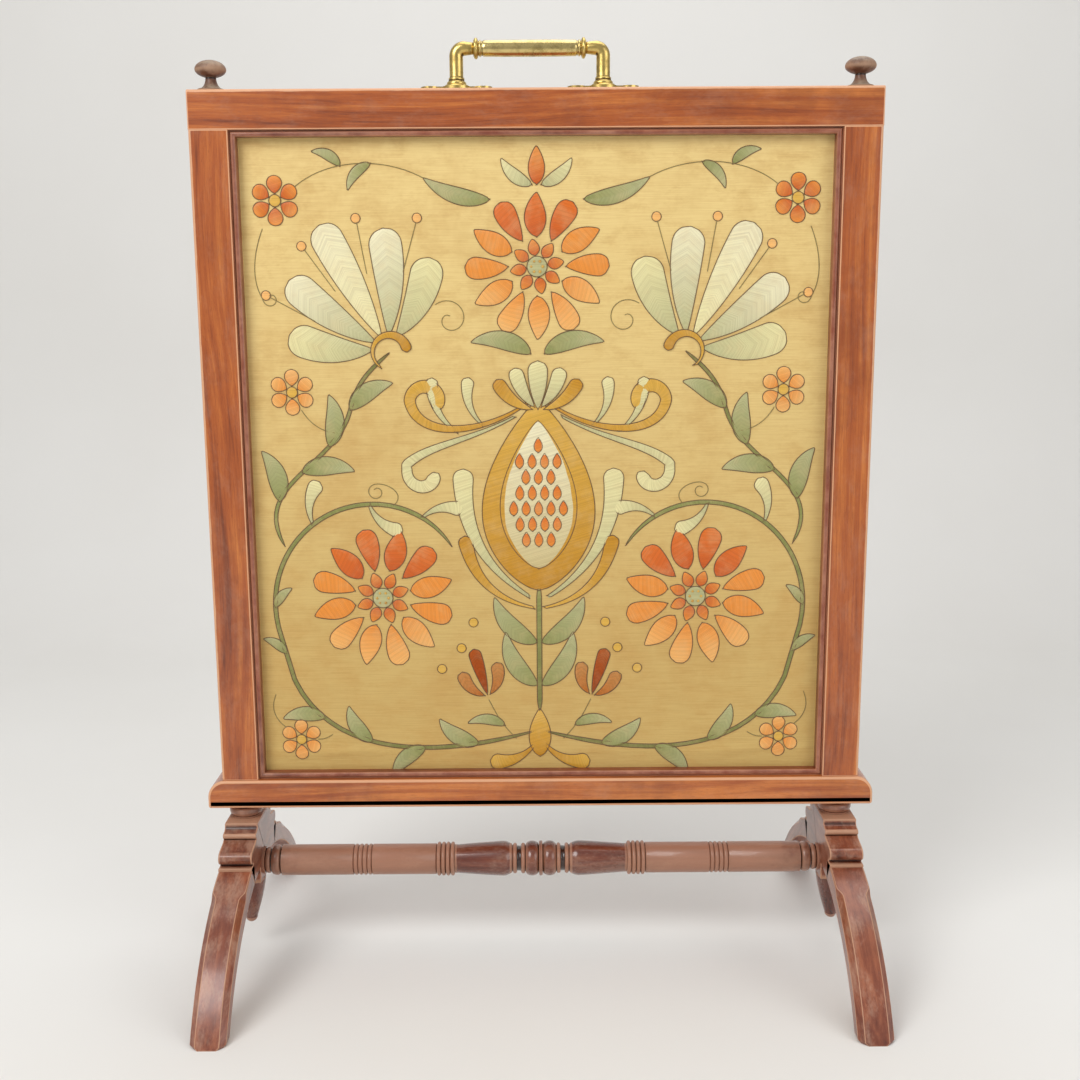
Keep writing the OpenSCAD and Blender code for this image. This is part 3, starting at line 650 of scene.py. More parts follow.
@dataclass(frozen=True)
class SilkGround:
    """The panel's plain satin, paler at the top, stained, slubbed and finely woven."""

    top: Colour = srgb(236, 208, 138)
    bottom: Colour = srgb(208, 176, 106)
    stain: Colour = srgb(196, 150, 78)
    low: float = 175.0
    high: float = 735.0

    def build(self, effects: Effects) -> bpy.types.Material:
        """Makes the material."""
        material, g, shader = new_material("satin ground")
        place = g.add("ShaderNodeTexCoord", out="Object")
        part = g.add("ShaderNodeSeparateXYZ", {0: place}, "Z").node
        share = g.span(part.outputs["Z"], self.low * MM, self.high * MM)
        ground = g.mix(share, rgba(self.bottom), rgba(self.top))
        stained = g.place(effects.mottle, {
            "Vector": place, "Color": ground, "Blotch": rgba(self.stain), "Amount": 0.42, "Scale": 9.0,
        })
        smudged = g.place(effects.mottle, {
            "Vector": g.scaled(place, (1.0, 1.0, 2.2)), "Color": stained.outputs["Color"],
            "Blotch": rgba(self.stain), "Amount": 0.3, "Scale": 34.0,
        })
        slubs = g.noise(g.scaled(place, (30, 30, 1500)), 1.0, 3.0, 0.6)
        colour = g.mix(g.span(slubs, 0.35, 0.75, 0.0, 0.22), smudged.outputs["Color"], rgba(self.stain), "MULTIPLY")
        weave = [
            g.math("SINE", g.math("MULTIPLY", part.outputs[axis], 2 * math.pi / (pitch * MM)))
            for axis, pitch in (("X", 0.32), ("Z", 0.26))
        ]
        height = g.math("ADD", g.math("MULTIPLY", weave[0], weave[1]), g.math("MULTIPLY", slubs, 4.0))
        bump = g.add("ShaderNodeBump", {"Height": height, "Strength": 0.35, "Distance": 0.00008})
        rough = g.span(slubs, 0.2, 0.8, 0.42, 0.56)
        dress(g, shader, {"Base Color": colour, "Roughness": rough, "Normal": bump},
              {"Sheen Weight": 0.25, "Sheen Roughness": 0.4, "Specular IOR Level": 0.4})
        return material


@dataclass(frozen=True)
class SilkThread:
    """Floss silk in satin stitch, whose colour and thread lines are the piece's attributes, with painted shade in the
    gaps between threads.
    """

    pitch: float = 0.62

    def build(self, effects: Effects) -> bpy.types.Material:
        """Makes the material."""
        material, g, shader = new_material("floss silk")
        dyed = g.add("ShaderNodeAttribute", out="Color", attribute_name="dye")
        line = g.add("ShaderNodeAttribute", out="Vector", attribute_name="stitch")
        along = g.add("ShaderNodeSeparateXYZ", {0: line}, "X")
        threads = g.place(effects.threads, {"Place": along, "Pitch": self.pitch})
        place = g.add("ShaderNodeTexCoord", out="Object")
        soft = g.noise(place, 70.0, 3.0, 0.6)
        faded = g.mix(g.span(soft, 0.4, 0.75, 0.0, 0.22), dyed, rgba(srgb(226, 196, 140)))
        shade = g.math("MULTIPLY", threads.outputs["Shade"], 0.2)
        colour = g.mix(shade, faded, rgba(srgb(120, 80, 30)), "MULTIPLY")
        # Painted shade: darker in the gaps between threads.
        thread_gap_shade = g.span(threads.outputs["Height"], 0.0, 0.6, 0.25, 0.0)
        colour = g.mix(thread_gap_shade, colour, rgba(srgb(90, 60, 30)), "MULTIPLY")
        bump = g.add("ShaderNodeBump", {"Height": threads.outputs["Height"], "Strength": 0.5, "Distance": 0.00015})
        rough = g.span(soft, 0.2, 0.8, 0.34, 0.48)
        dress(g, shader, {"Base Color": colour, "Roughness": rough, "Normal": bump},
              {"Sheen Weight": 0.3, "Sheen Roughness": 0.35, "Specular IOR Level": 0.5})
        return material


@dataclass(frozen=True)
class Plain:
    """A modest finish for pieces that hardly show: bare pine, dull steel or outline thread."""

    name: str
    colour: Colour
    blotch: Colour
    roughness: float = 0.6
    metallic: float = 0.0
    scale: float = 90.0
    stretch: tuple[float, float, float] = (1.0, 1.0, 1.0)
    sheen: float = 0.0

    def build(self, effects: Effects) -> bpy.types.Material:
        """Makes the material."""
        material, g, shader = new_material(self.name)
        place = g.scaled(g.add("ShaderNodeTexCoord", out="Object"), self.stretch)
        tone = g.place(effects.mottle, {
            "Vector": place, "Color": rgba(self.colour), "Blotch": rgba(self.blotch), "Amount": 0.8,
            "Scale": self.scale,
        })
        rough = g.span(tone.outputs["Mask"], 0.0, 1.0, self.roughness, min(1.0, self.roughness + 0.15))
        fine = g.noise(place, self.scale * 12, 2.0)
        bump = g.add("ShaderNodeBump", {"Height": fine, "Strength": 0.3, "Distance": 0.0001})
        dress(g, shader, {"Base Color": tone.outputs["Color"], "Roughness": rough, "Normal": bump},
              {"Metallic": self.metallic, "Sheen Weight": self.sheen})
        return material


class Finishes:
    """Every material of the screen."""

    def __init__(self) -> None:
        """Builds the shared effects and then each finish."""
        effects = Effects()
        # Near-black for the grooves, partly soiling and partly painted shade; each Polish's fourth colour is the pale
        # of rubbed arrises, partly a painted highlight.
        dirt_shade_colour = srgb(34, 18, 12)
        self.frame = Polish("frame mahogany", srgb(206, 122, 54), srgb(168, 84, 32), srgb(112, 48, 18),
                            srgb(224, 170, 130), dirt_shade_colour, wear_and_light=0.85, scuffs=0.12).build(effects)
        self.moulding = Polish("moulding mahogany", srgb(150, 74, 40), srgb(122, 52, 28), srgb(78, 30, 18),
                               srgb(206, 150, 120), dirt_shade_colour, roughness=0.3, wear_and_light=0.6, scuffs=0.1).build(effects)
        self.trestle = Polish("trestle mahogany", srgb(158, 92, 62), srgb(124, 62, 40), srgb(74, 34, 24),
                              srgb(196, 150, 120), dirt_shade_colour, roughness=0.24, wear_and_light=0.75, scuffs=0.42).build(effects)
        self.turned = Polish("turned mahogany", srgb(136, 76, 52), srgb(106, 50, 34), srgb(62, 28, 20),
                             srgb(190, 140, 112), dirt_shade_colour, roughness=0.2, coat=0.7, wear_and_light=0.6, groove_dirt_shade=0.9,
                             scuffs=0.22).build(effects)
        self.finial = Polish("dusty mahogany", srgb(128, 84, 58), srgb(100, 62, 42), srgb(62, 36, 26),
                             srgb(180, 146, 118), dirt_shade_colour, roughness=0.42, coat=0.15, wear_and_light=0.7, groove_dirt_shade=0.9, scuffs=0.4,
                             dust=0.75).build(effects)
        self.back = Polish("stained board", srgb(104, 62, 38), srgb(84, 46, 28), srgb(58, 30, 20),
                           srgb(150, 110, 80), dirt_shade_colour, roughness=0.55, coat=0.0, scuffs=0.3, on_node=True).build(effects)
        self.brass = Brass("old brass", srgb(214, 186, 112), srgb(158, 136, 74), srgb(92, 70, 40)).build(effects)
        self.grip_brass = Brass("handled brass", srgb(222, 200, 136), srgb(170, 150, 88), srgb(110, 88, 50),
                                roughness=0.24, scale=40.0).build(effects)
        self.silk = SilkGround().build(effects)
        self.floss = SilkThread().build(effects)
        self.outline = Plain("brown floss", srgb(112, 80, 44), srgb(84, 58, 34), 0.5, sheen=0.3).build(effects)
        self.tendril = Plain("olive floss", srgb(138, 120, 62), srgb(112, 94, 50), 0.5, sheen=0.3).build(effects)
        self.knot = Plain("gold floss", srgb(214, 170, 74), srgb(170, 120, 50), 0.5, sheen=0.3).build(effects)
        self.pine = Plain("bare pine", srgb(206, 172, 122), srgb(178, 138, 88), 0.7, scale=14.0,
                          stretch=(1.0, 6.0, 1.0)).build(effects)
        self.steel = Plain("dull steel", srgb(132, 126, 118), srgb(96, 74, 58), 0.42, 1.0).build(effects)


def rod_tree() -> bpy.types.NodeTree:
    """A geometry tree that turns a line, with a radius at each point, into a round rod."""
    inputs = {"Geometry": "g", "Segments": "i", "Material": "m"}
    g, start = open_group("GeometryNodeTree", "turned rod", inputs, {"Geometry": "g"})
    line = g.add("GeometryNodeMeshToCurve", {"Mesh": start.outputs["Geometry"]})
    radius = g.add("GeometryNodeInputNamedAttribute", {"Name": "radius"}, data_type="FLOAT")
    ring = g.add("GeometryNodeCurvePrimitiveCircle", {"Resolution": start.outputs["Segments"], "Radius": 1.0})
    sized = g.add("GeometryNodeSetCurveRadius", {"Curve": line, "Radius": radius})
    inputs = {"Curve": sized, "Profile Curve": ring, "Fill Caps": True}
    skin = g.tree.nodes.new("GeometryNodeCurveToMesh")
    for key, value in inputs.items():
        if isinstance(value, bpy.types.NodeSocket):
            g.tree.links.new(value, skin.inputs[key])
        else:
            skin.inputs[key].default_value = value
    if "Scale" in skin.inputs:
        g.tree.links.new(radius, skin.inputs["Scale"])
    real = g.add("GeometryNodeRealizeInstances", {"Geometry": skin.outputs[0]})
    done = g.add("GeometryNodeSetMaterial", {"Geometry": real, "Material": start.outputs["Material"]})
    return close_group(g, Geometry=done)


def stitch_tree() -> bpy.types.NodeTree:
    """A geometry tree that lays slanting, overlapping stitches along lines on the panel."""
    inputs = {"Geometry": "g", "Spacing": "f", "Length": "f", "Thickness": "f", "Slant": "f", "Material": "m"}
    g, start = open_group("GeometryNodeTree", "stem stitch", inputs, {"Geometry": "g"})
    line = g.add("GeometryNodeMeshToCurve", {"Mesh": start.outputs["Geometry"]})
    points = g.add("GeometryNodeCurveToPoints", {"Curve": line, "Length": start.outputs["Spacing"]}, mode="LENGTH").node
    along = g.add("FunctionNodeAlignRotationToVector", {"Vector": points.outputs["Tangent"]}, axis="X")
    facing = g.add("FunctionNodeAlignRotationToVector", {"Rotation": along, "Vector": (0.0, -1.0, 0.0)},
                   axis="Z", pivot_axis="X")
    lean = g.add("FunctionNodeAxisAngleToRotation", {"Axis": (0.0, 0.0, 1.0), "Angle": start.outputs["Slant"]})
    turned = g.add("FunctionNodeRotateRotation", {"Rotation": facing, "Rotate By": lean}, rotation_space="LOCAL")
    ball = g.add("GeometryNodeMeshUVSphere", {"Segments": 5, "Rings": 3, "Radius": 0.5})
    jitter = g.add("FunctionNodeRandomValue", {2: 0.85, 3: 1.15, "Seed": SEED}, 1, data_type="FLOAT")
    length = g.math("MULTIPLY", start.outputs["Length"], jitter)
    size = g.add("ShaderNodeCombineXYZ", {
        "X": length, "Y": start.outputs["Thickness"], "Z": start.outputs["Thickness"],
    })
    laid = g.add("GeometryNodeInstanceOnPoints", {
        "Points": points.outputs["Points"], "Instance": ball, "Rotation": turned, "Scale": size,
    })
    real = g.add("GeometryNodeRealizeInstances", {"Geometry": laid})
    done = g.add("GeometryNodeSetMaterial", {"Geometry": real, "Material": start.outputs["Material"]})
    return close_group(g, Geometry=done)


def knot_tree() -> bpy.types.NodeTree:
    """A geometry tree that sets a small flattened knot on each point."""
    inputs = {"Geometry": "g", "Size": "f", "Material": "m"}
    g, start = open_group("GeometryNodeTree", "seed knots", inputs, {"Geometry": "g"})
    ball = g.add("GeometryNodeMeshIcoSphere", {"Radius": 0.5, "Subdivisions": 1})
    jitter = g.add("FunctionNodeRandomValue", {2: 0.8, 3: 1.15, "Seed": SEED}, 1, data_type="FLOAT")
    width = g.math("MULTIPLY", start.outputs["Size"], jitter)
    size = g.add("ShaderNodeCombineXYZ", {"X": width, "Y": g.math("MULTIPLY", width, 0.7), "Z": width})
    laid = g.add("GeometryNodeInstanceOnPoints", {"Points": start.outputs["Geometry"], "Instance": ball, "Scale": size})
    real = g.add("GeometryNodeRealizeInstances", {"Geometry": laid})
    done = g.add("GeometryNodeSetMaterial", {"Geometry": real, "Material": start.outputs["Material"]})
    return close_group(g, Geometry=done)


def grown(name: str, seed: bpy.types.Mesh, tree: bpy.types.NodeTree, inputs: dict[str, object]) -> bpy.types.Mesh:
    """Runs a geometry tree on a mesh and keeps the result as a plain mesh.

    Args:
        name: The result's name.
        seed: The mesh that goes in.
        tree: The geometry tree.
        inputs: Values by the tree's own names.

    Returns:
        The result.
    """
    host = new_object(name, seed)
    modifier = host.modifiers.new(tree.name, "NODES")
    modifier.node_group = tree
    for item in tree.interface.items_tree:
        if item.in_out == "INPUT" and item.name in inputs:
            modifier[item.identifier] = inputs[item.name]
    depsgraph = bpy.context.evaluated_depsgraph_get()
    result = bpy.data.meshes.new_from_object(host.evaluated_get(depsgraph), preserve_all_data_layers=True,
                                             depsgraph=depsgraph)
    host.modifiers.remove(modifier)
    bpy.data.objects.remove(host)
    return result


def polyline(name: str, lines: Sequence[Sequence[Vector]]) -> bpy.types.Mesh:
    """A mesh of open lines, in metres."""
    mesh = bpy.data.meshes.new(name)
    points, edges = [], []
    for line in lines:
        edges += [(len(points) + i, len(points) + i + 1) for i in range(len(line) - 1)]
        points += [p * MM for p in line]
    mesh.from_pydata(points, edges, [])
    return mesh


class Turner:
    """Makes turned and swept round pieces from a line and its radii."""

    def __init__(self, segments: int = 72) -> None:
        """Builds the tree."""
        self.segments = segments
        self.tree = rod_tree()

    def rod(self, name: str, path: Sequence[Vector], radii: Sequence[float], finish: bpy.types.Material) -> bpy.types.Mesh:
        """A round rod along a path in millimetres, with a radius at each point."""
        seed = polyline(name, [path])
        write_attribute(seed, "radius", "FLOAT", np.array(radii) * MM)
        mesh = grown(name, seed, self.tree, {"Segments": self.segments, "Material": finish})
        solid = bmesh.new()
        solid.from_mesh(mesh)
        bmesh.ops.recalc_face_normals(solid, faces=solid.faces)
        solid.to_mesh(mesh)
        solid.free()
        return mesh


@dataclass
class Profile:
    """A turning's outline as places along its axis, each with a radius."""

    points: list[Flat] = field(default_factory=list)

    def to(self, *points: Flat) -> Profile:
        """Straight on to each point."""
        self.points += points
        return self

    def bead(self, start: float, width: float, low: float, high: float, steps: int = 8) -> Profile:
        """A half-round swelling."""
        for i in range(steps + 1):
            turn = math.pi * i / steps
            self.points.append((start + width * (1 - math.cos(turn)) / 2, low + (high - low) * math.sin(turn)))
        return self

    def cove(self, start: float, width: float, high: float, low: float, steps: int = 8) -> Profile:
        """A half-round hollow."""
        return self.bead(start, width, high, low, steps)

    def rings(self, start: float, width: float, count: int, low: float, high: float) -> Profile:
        """Beads side by side."""
        for k in range(count):
            self.bead(start + k * width / count, width / count, low, high, 8)
        return self

    def ordered(self) -> list[Flat]:
        """The points with no two at one place, so that the line never stands still."""
        out: list[Flat] = []
        for along, radius in self.points:
            if out and along <= out[-1][0] + 0.02:
                along = out[-1][0] + 0.02
            out.append((along, max(radius, 0.05)))
        return out


# The screen's parts


@dataclass
class FrameWood:
    """The two stiles, the top rail and the base rail."""

    arris: float = 2.5
    inner_arris: float = 0.5
    end_arris: float = 0.7
    base_round: float = 16.0
    base_arris: float = 2.0

    def stile_section(self, box: Box) -> list[Flat]:
        """A stile's section, with its outer corners worn round."""
        outer = box.low.x if box.mid.x < 0 else box.high.x
        inner = box.high.x if box.mid.x < 0 else box.low.x
        low, high = box.low.y, box.high.y
        corners = [(outer, low, self.arris), (inner, low, self.inner_arris), (inner, high, self.inner_arris),
                   (outer, high, self.arris)]
        return counter_clockwise(filleted(corners, 5))

    def rail_section(self, box: Box) -> list[Flat]:
        """The top rail's section."""
        low, high = box.low, box.high
        return filleted([(low.y, low.z, self.inner_arris), (high.y, low.z, self.inner_arris),
                         (high.y, high.z, self.arris), (low.y, high.z, self.arris)], 5)

    def base_outline(self, box: Box) -> list[Flat]:
        """The base rail seen from the front."""
        low, high, small = box.low, box.high, self.base_arris + 0.2
        return filleted([(low.x, low.z, small), (high.x, low.z, small),
                         (high.x, high.z, self.base_round), (low.x, high.z, self.base_round)], 12)

    def build(self, finishes: Finishes) -> None:
        """Makes the four pieces."""
        rail, base = Box.of("top_rail"), Box.of("base_rail")
        for node, name in (("left_stile", "stile_left"), ("right_stile", "stile_right")):
            box = Box.of(node)
            rings = bar(self.stile_section(box), Axis.Z, base.high.z, rail.low.z, 0.25)
            wooden(name, to_mesh(name, [loft(rings)]), finishes.frame, Vector((0, 0, 1)), "frame_wood", [node])
        rings = bar(self.rail_section(rail), Axis.X, rail.low.x, rail.high.x, self.end_arris)
        wooden("rail_top", to_mesh("rail_top", [loft(rings)]), finishes.frame, Vector((1, 0, 0)), "frame_wood",
               ["top_rail"])
        rings = bar(self.base_outline(base), Axis.Y, base.low.y, base.high.y, self.base_arris, 5)
        wooden("rail_base", to_mesh("rail_base", [loft(rings)]), finishes.frame, Vector((1, 0, 0)), "frame_wood",
               ["base_rail"])


@dataclass
class Mouldings:
    """The mitred slip moulding in front of the panel and the beads behind it."""

    quirk: float = 1.0
    front_w: float = 5.5
    back_w: float = 8.0

    def front_section(self, front: float, back: float) -> list[Flat]:
        """Depth and width of the slip moulding: a narrow flat, a quirk and a bead."""
        r = (self.front_w - self.quirk) / 2
        middle = self.front_w - r
        bead = [
            (front + r - r * math.cos(t), middle + r * math.sin(t))
            for t in (math.radians(-90 + 180 * k / 12) for k in range(13))
        ]
        return [(back, 0.0), (front + r * 0.9, 0.0), (front + r * 0.9, self.quirk - 0.35),
                (front + r + 0.9, self.quirk - 0.15), (front + r + 0.9, self.quirk)] + bead + [(back, self.front_w)]

    def back_section(self, front: float, back: float) -> list[Flat]:
        """Depth and width of a bead behind the panel."""
        r = min(back - front, self.back_w) * 0.7
        curve = [
            (back - r + r * math.cos(t), self.back_w - r + r * math.sin(t))
            for t in (math.radians(90 * k / 8) for k in range(9))
        ]
        return [(front, 0.0), (back - 0.4, 0.0), (back, 0.4)] + curve + [(front, self.back_w)]

    @staticmethod
    def mitred(section: list[Flat], box: Box) -> bmesh.types.BMesh:
        """A length of moulding in its node's box, with its ends mitred towards the opening."""
        upright = box.size.z > box.size.x
        centre = Vector((0.0, 0.0, 454.75))
        half = (box.size.z if upright else box.size.x) / 2
        sign = 1 if (box.mid.x if upright else box.mid.z - centre.z) < 0 else -1
        outer = (box.low if sign > 0 else box.high)[0 if upright else 2]
        middle = box.mid.z if upright else box.mid.x
        rings = []
        for end in (-1, 1):
            ring = []
            for depth, width in section:
                along = middle + end * (half - width)
                across = outer + sign * width
                ring.append(Vector((across, depth, along) if upright else (along, depth, across)))
            rings.append(ring)
        return loft(rings)

    def build(self, finishes: Finishes) -> None:
        """Makes the eight lengths."""
        for family, name, finish, slot in (
            ("moulding", "slip", finishes.moulding, "moulding_wood"),
            ("back_bead", "bead", finishes.moulding, "bead_wood"),
        ):
            for side in ("top", "bottom", "left", "right"):
                box = Box.of(f"{family}_{side}")
                section = (self.front_section if name == "slip" else self.back_section)(box.low.y, box.high.y)
                along = Vector((0, 0, 1)) if side in ("left", "right") else Vector((1, 0, 0))
                title = f"{name}_{side}"
                wooden(title, to_mesh(title, [self.mitred(section, box)]), finish, along, slot,
                       [f"{family}_{side}"])


@dataclass
class Finials:
    """The two flattened balls on flared feet."""

    def profile(self, width: float, height: float) -> list[Flat]:
        """From the foot on the rail up to the crown."""
        base, neck, neck_z, knob_z = width * 0.46, width * 0.17, height * 0.44, height * 0.7
        shape = Profile().to((0.0, base - 0.5), (0.3, base), (1.5, base), (1.8, base - 0.6))
        for k in range(9):
            turn = math.pi / 2 * k / 8
            shape.to((neck_z - (neck_z - 2.0) * math.cos(turn), base - 0.8 - (base - 0.8 - neck) * math.sin(turn)))
        shape.to((neck_z + 0.5, neck + 0.7))
        for k in range(22):
            turn = math.radians(-68 + 156 * k / 21)
            reach = knob_z - neck_z if turn < 0 else height - knob_z
            shape.to((knob_z + reach * math.sin(turn), width / 2 * math.cos(turn)))
        return shape.ordered()

    def build(self, finishes: Finishes, turner: Turner) -> None:
        """Makes both finials."""
        top = Box.of("top_rail").high.z
        for side in ("left", "right"):
            box = Box.of(f"finial_{side}")
            points = self.profile(box.size.x, box.high.z - top)
            path = [Vector((box.mid.x, box.mid.y, top + a)) for a, _ in points]
            name = f"knob_{side}"
            mesh = turner.rod(name, path, [r for _, r in points], finishes.finial)
            wooden(name, mesh, finishes.finial, Vector((0, 0, 1)), "finial_wood", [f"finial_{side}"], 50)


@dataclass
class CarryingHandle:
    """The brass grip, its collars and its two cranked posts; the plates stay the CAD's own."""

    post_d: float = 11.5
    foot_d: float = 16.3
    foot_h: float = 6.0
    plate_h: float = 4.2
    bend: float = 6.35

    def grip(self, box: Box) -> tuple[list[Vector], list[float]]:
        """The tube, with a ridge beside each end."""
        r, half = box.size.z / 2, box.size.x / 2
        shape = Profile().to((-half, r - 1.3), (-half + 0.5, r - 0.9)).bead(-half + 0.7, 1.8, r - 0.9, r, 8)
        shape.to((-half + 2.8, r - 0.9), (-half + 3.6, r - 0.9), (-half + 4.4, r - 0.35), (-half + 6, r - 0.25),
                 (-half * 0.5, r - 0.05), (0.0, r), (half * 0.5, r - 0.05), (half - 6, r - 0.25),
                 (half - 4.4, r - 0.35), (half - 3.6, r - 0.9), (half - 2.8, r - 0.9))
        shape.bead(half - 2.5, 1.8, r - 0.9, r, 8).to((half - 0.5, r - 0.9), (half, r - 1.3))
        points = shape.ordered()
        return [Vector((box.mid.x + a, box.mid.y, box.mid.z)) for a, _ in points], [b for _, b in points]

    def collar(self, box: Box) -> tuple[list[Vector], list[float]]:
        """A thin ring with a rounded rim."""
        width, r = box.size.x, box.size.z / 2
        points = Profile().to((0.0, r - 2.0)).bead(0.3, width - 0.6, r - 2.0, r, 12).to((width, r - 2.0)).ordered()
        return [Vector((box.low.x + a, box.mid.y, box.mid.z)) for a, _ in points], [b for _, b in points]

    def post(self, box: Box, sign: int, grip_z: float, rail_top: float) -> tuple[list[Vector], list[float]]:
        """A post from its stub at the grip round the bend to its foot on the plate."""
        r = self.post_d / 2
        axis_x = (box.high.x if sign > 0 else box.low.x) - sign * self.foot_d / 2
        stub_x = box.low.x if sign > 0 else box.high.x
        bend_x = axis_x - sign * self.bend
        steps = [(stub_x, grip_z, r - 1.6), (stub_x + sign * 0.4, grip_z, r - 1.0)]
        steps += [(stub_x + (bend_x - stub_x) * t, grip_z, r - 1.0 + t) for t in (0.25, 0.5, 0.75)]
        for k in range(13):
            turn = math.pi / 2 * k / 12
            steps.append((bend_x + sign * self.bend * math.sin(turn), grip_z - self.bend * (1 - math.cos(turn)), r))
        plate = rail_top + self.plate_h
        steps.append((axis_x, plate + self.foot_h + 0.6, r))
        for height, grow in ((6.0, 0.1), (5.6, 0.75), (5.0, 0.95), (4.2, 0.8), (3.6, 0.9), (2.9, 1.3), (2.2, 2.1),
                             (1.6, 2.4), (0.5, 2.4), (0.15, 2.2), (0.0, 1.8)):
            steps.append((axis_x, plate + height, r + grow))
        return [Vector((x, box.mid.y, z)) for x, z, _ in steps], [radius for *_, radius in steps]

    def build(self, finishes: Finishes, turner: Turner) -> None:
        """Makes the turned pieces; dress_nodes dresses the plates and screws."""
        grip, rail_top = Box.of("handle_grip"), Box.of("top_rail").high.z
        along = Vector((1, 0, 0))
        mesh = turner.rod("grip_tube", *self.grip(grip), finishes.grip_brass)
        wooden("grip_tube", mesh, finishes.grip_brass, along, "aged_brass", ["handle_grip"], 50)
        for side, sign in (("left", -1), ("right", 1)):
            name, node = f"grip_collar_{side}", f"handle_collar_{side}"
            wooden(name, turner.rod(name, *self.collar(Box.of(node)), finishes.brass), finishes.brass, along,
                   "aged_brass", [node], 50)
            name, node = f"post_{side}", f"handle_post_{side}"
            line = self.post(Box.of(node), sign, grip.mid.z, rail_top)
            wooden(name, turner.rod(name, *line, finishes.brass), finishes.brass, along, "aged_brass", [node], 50)


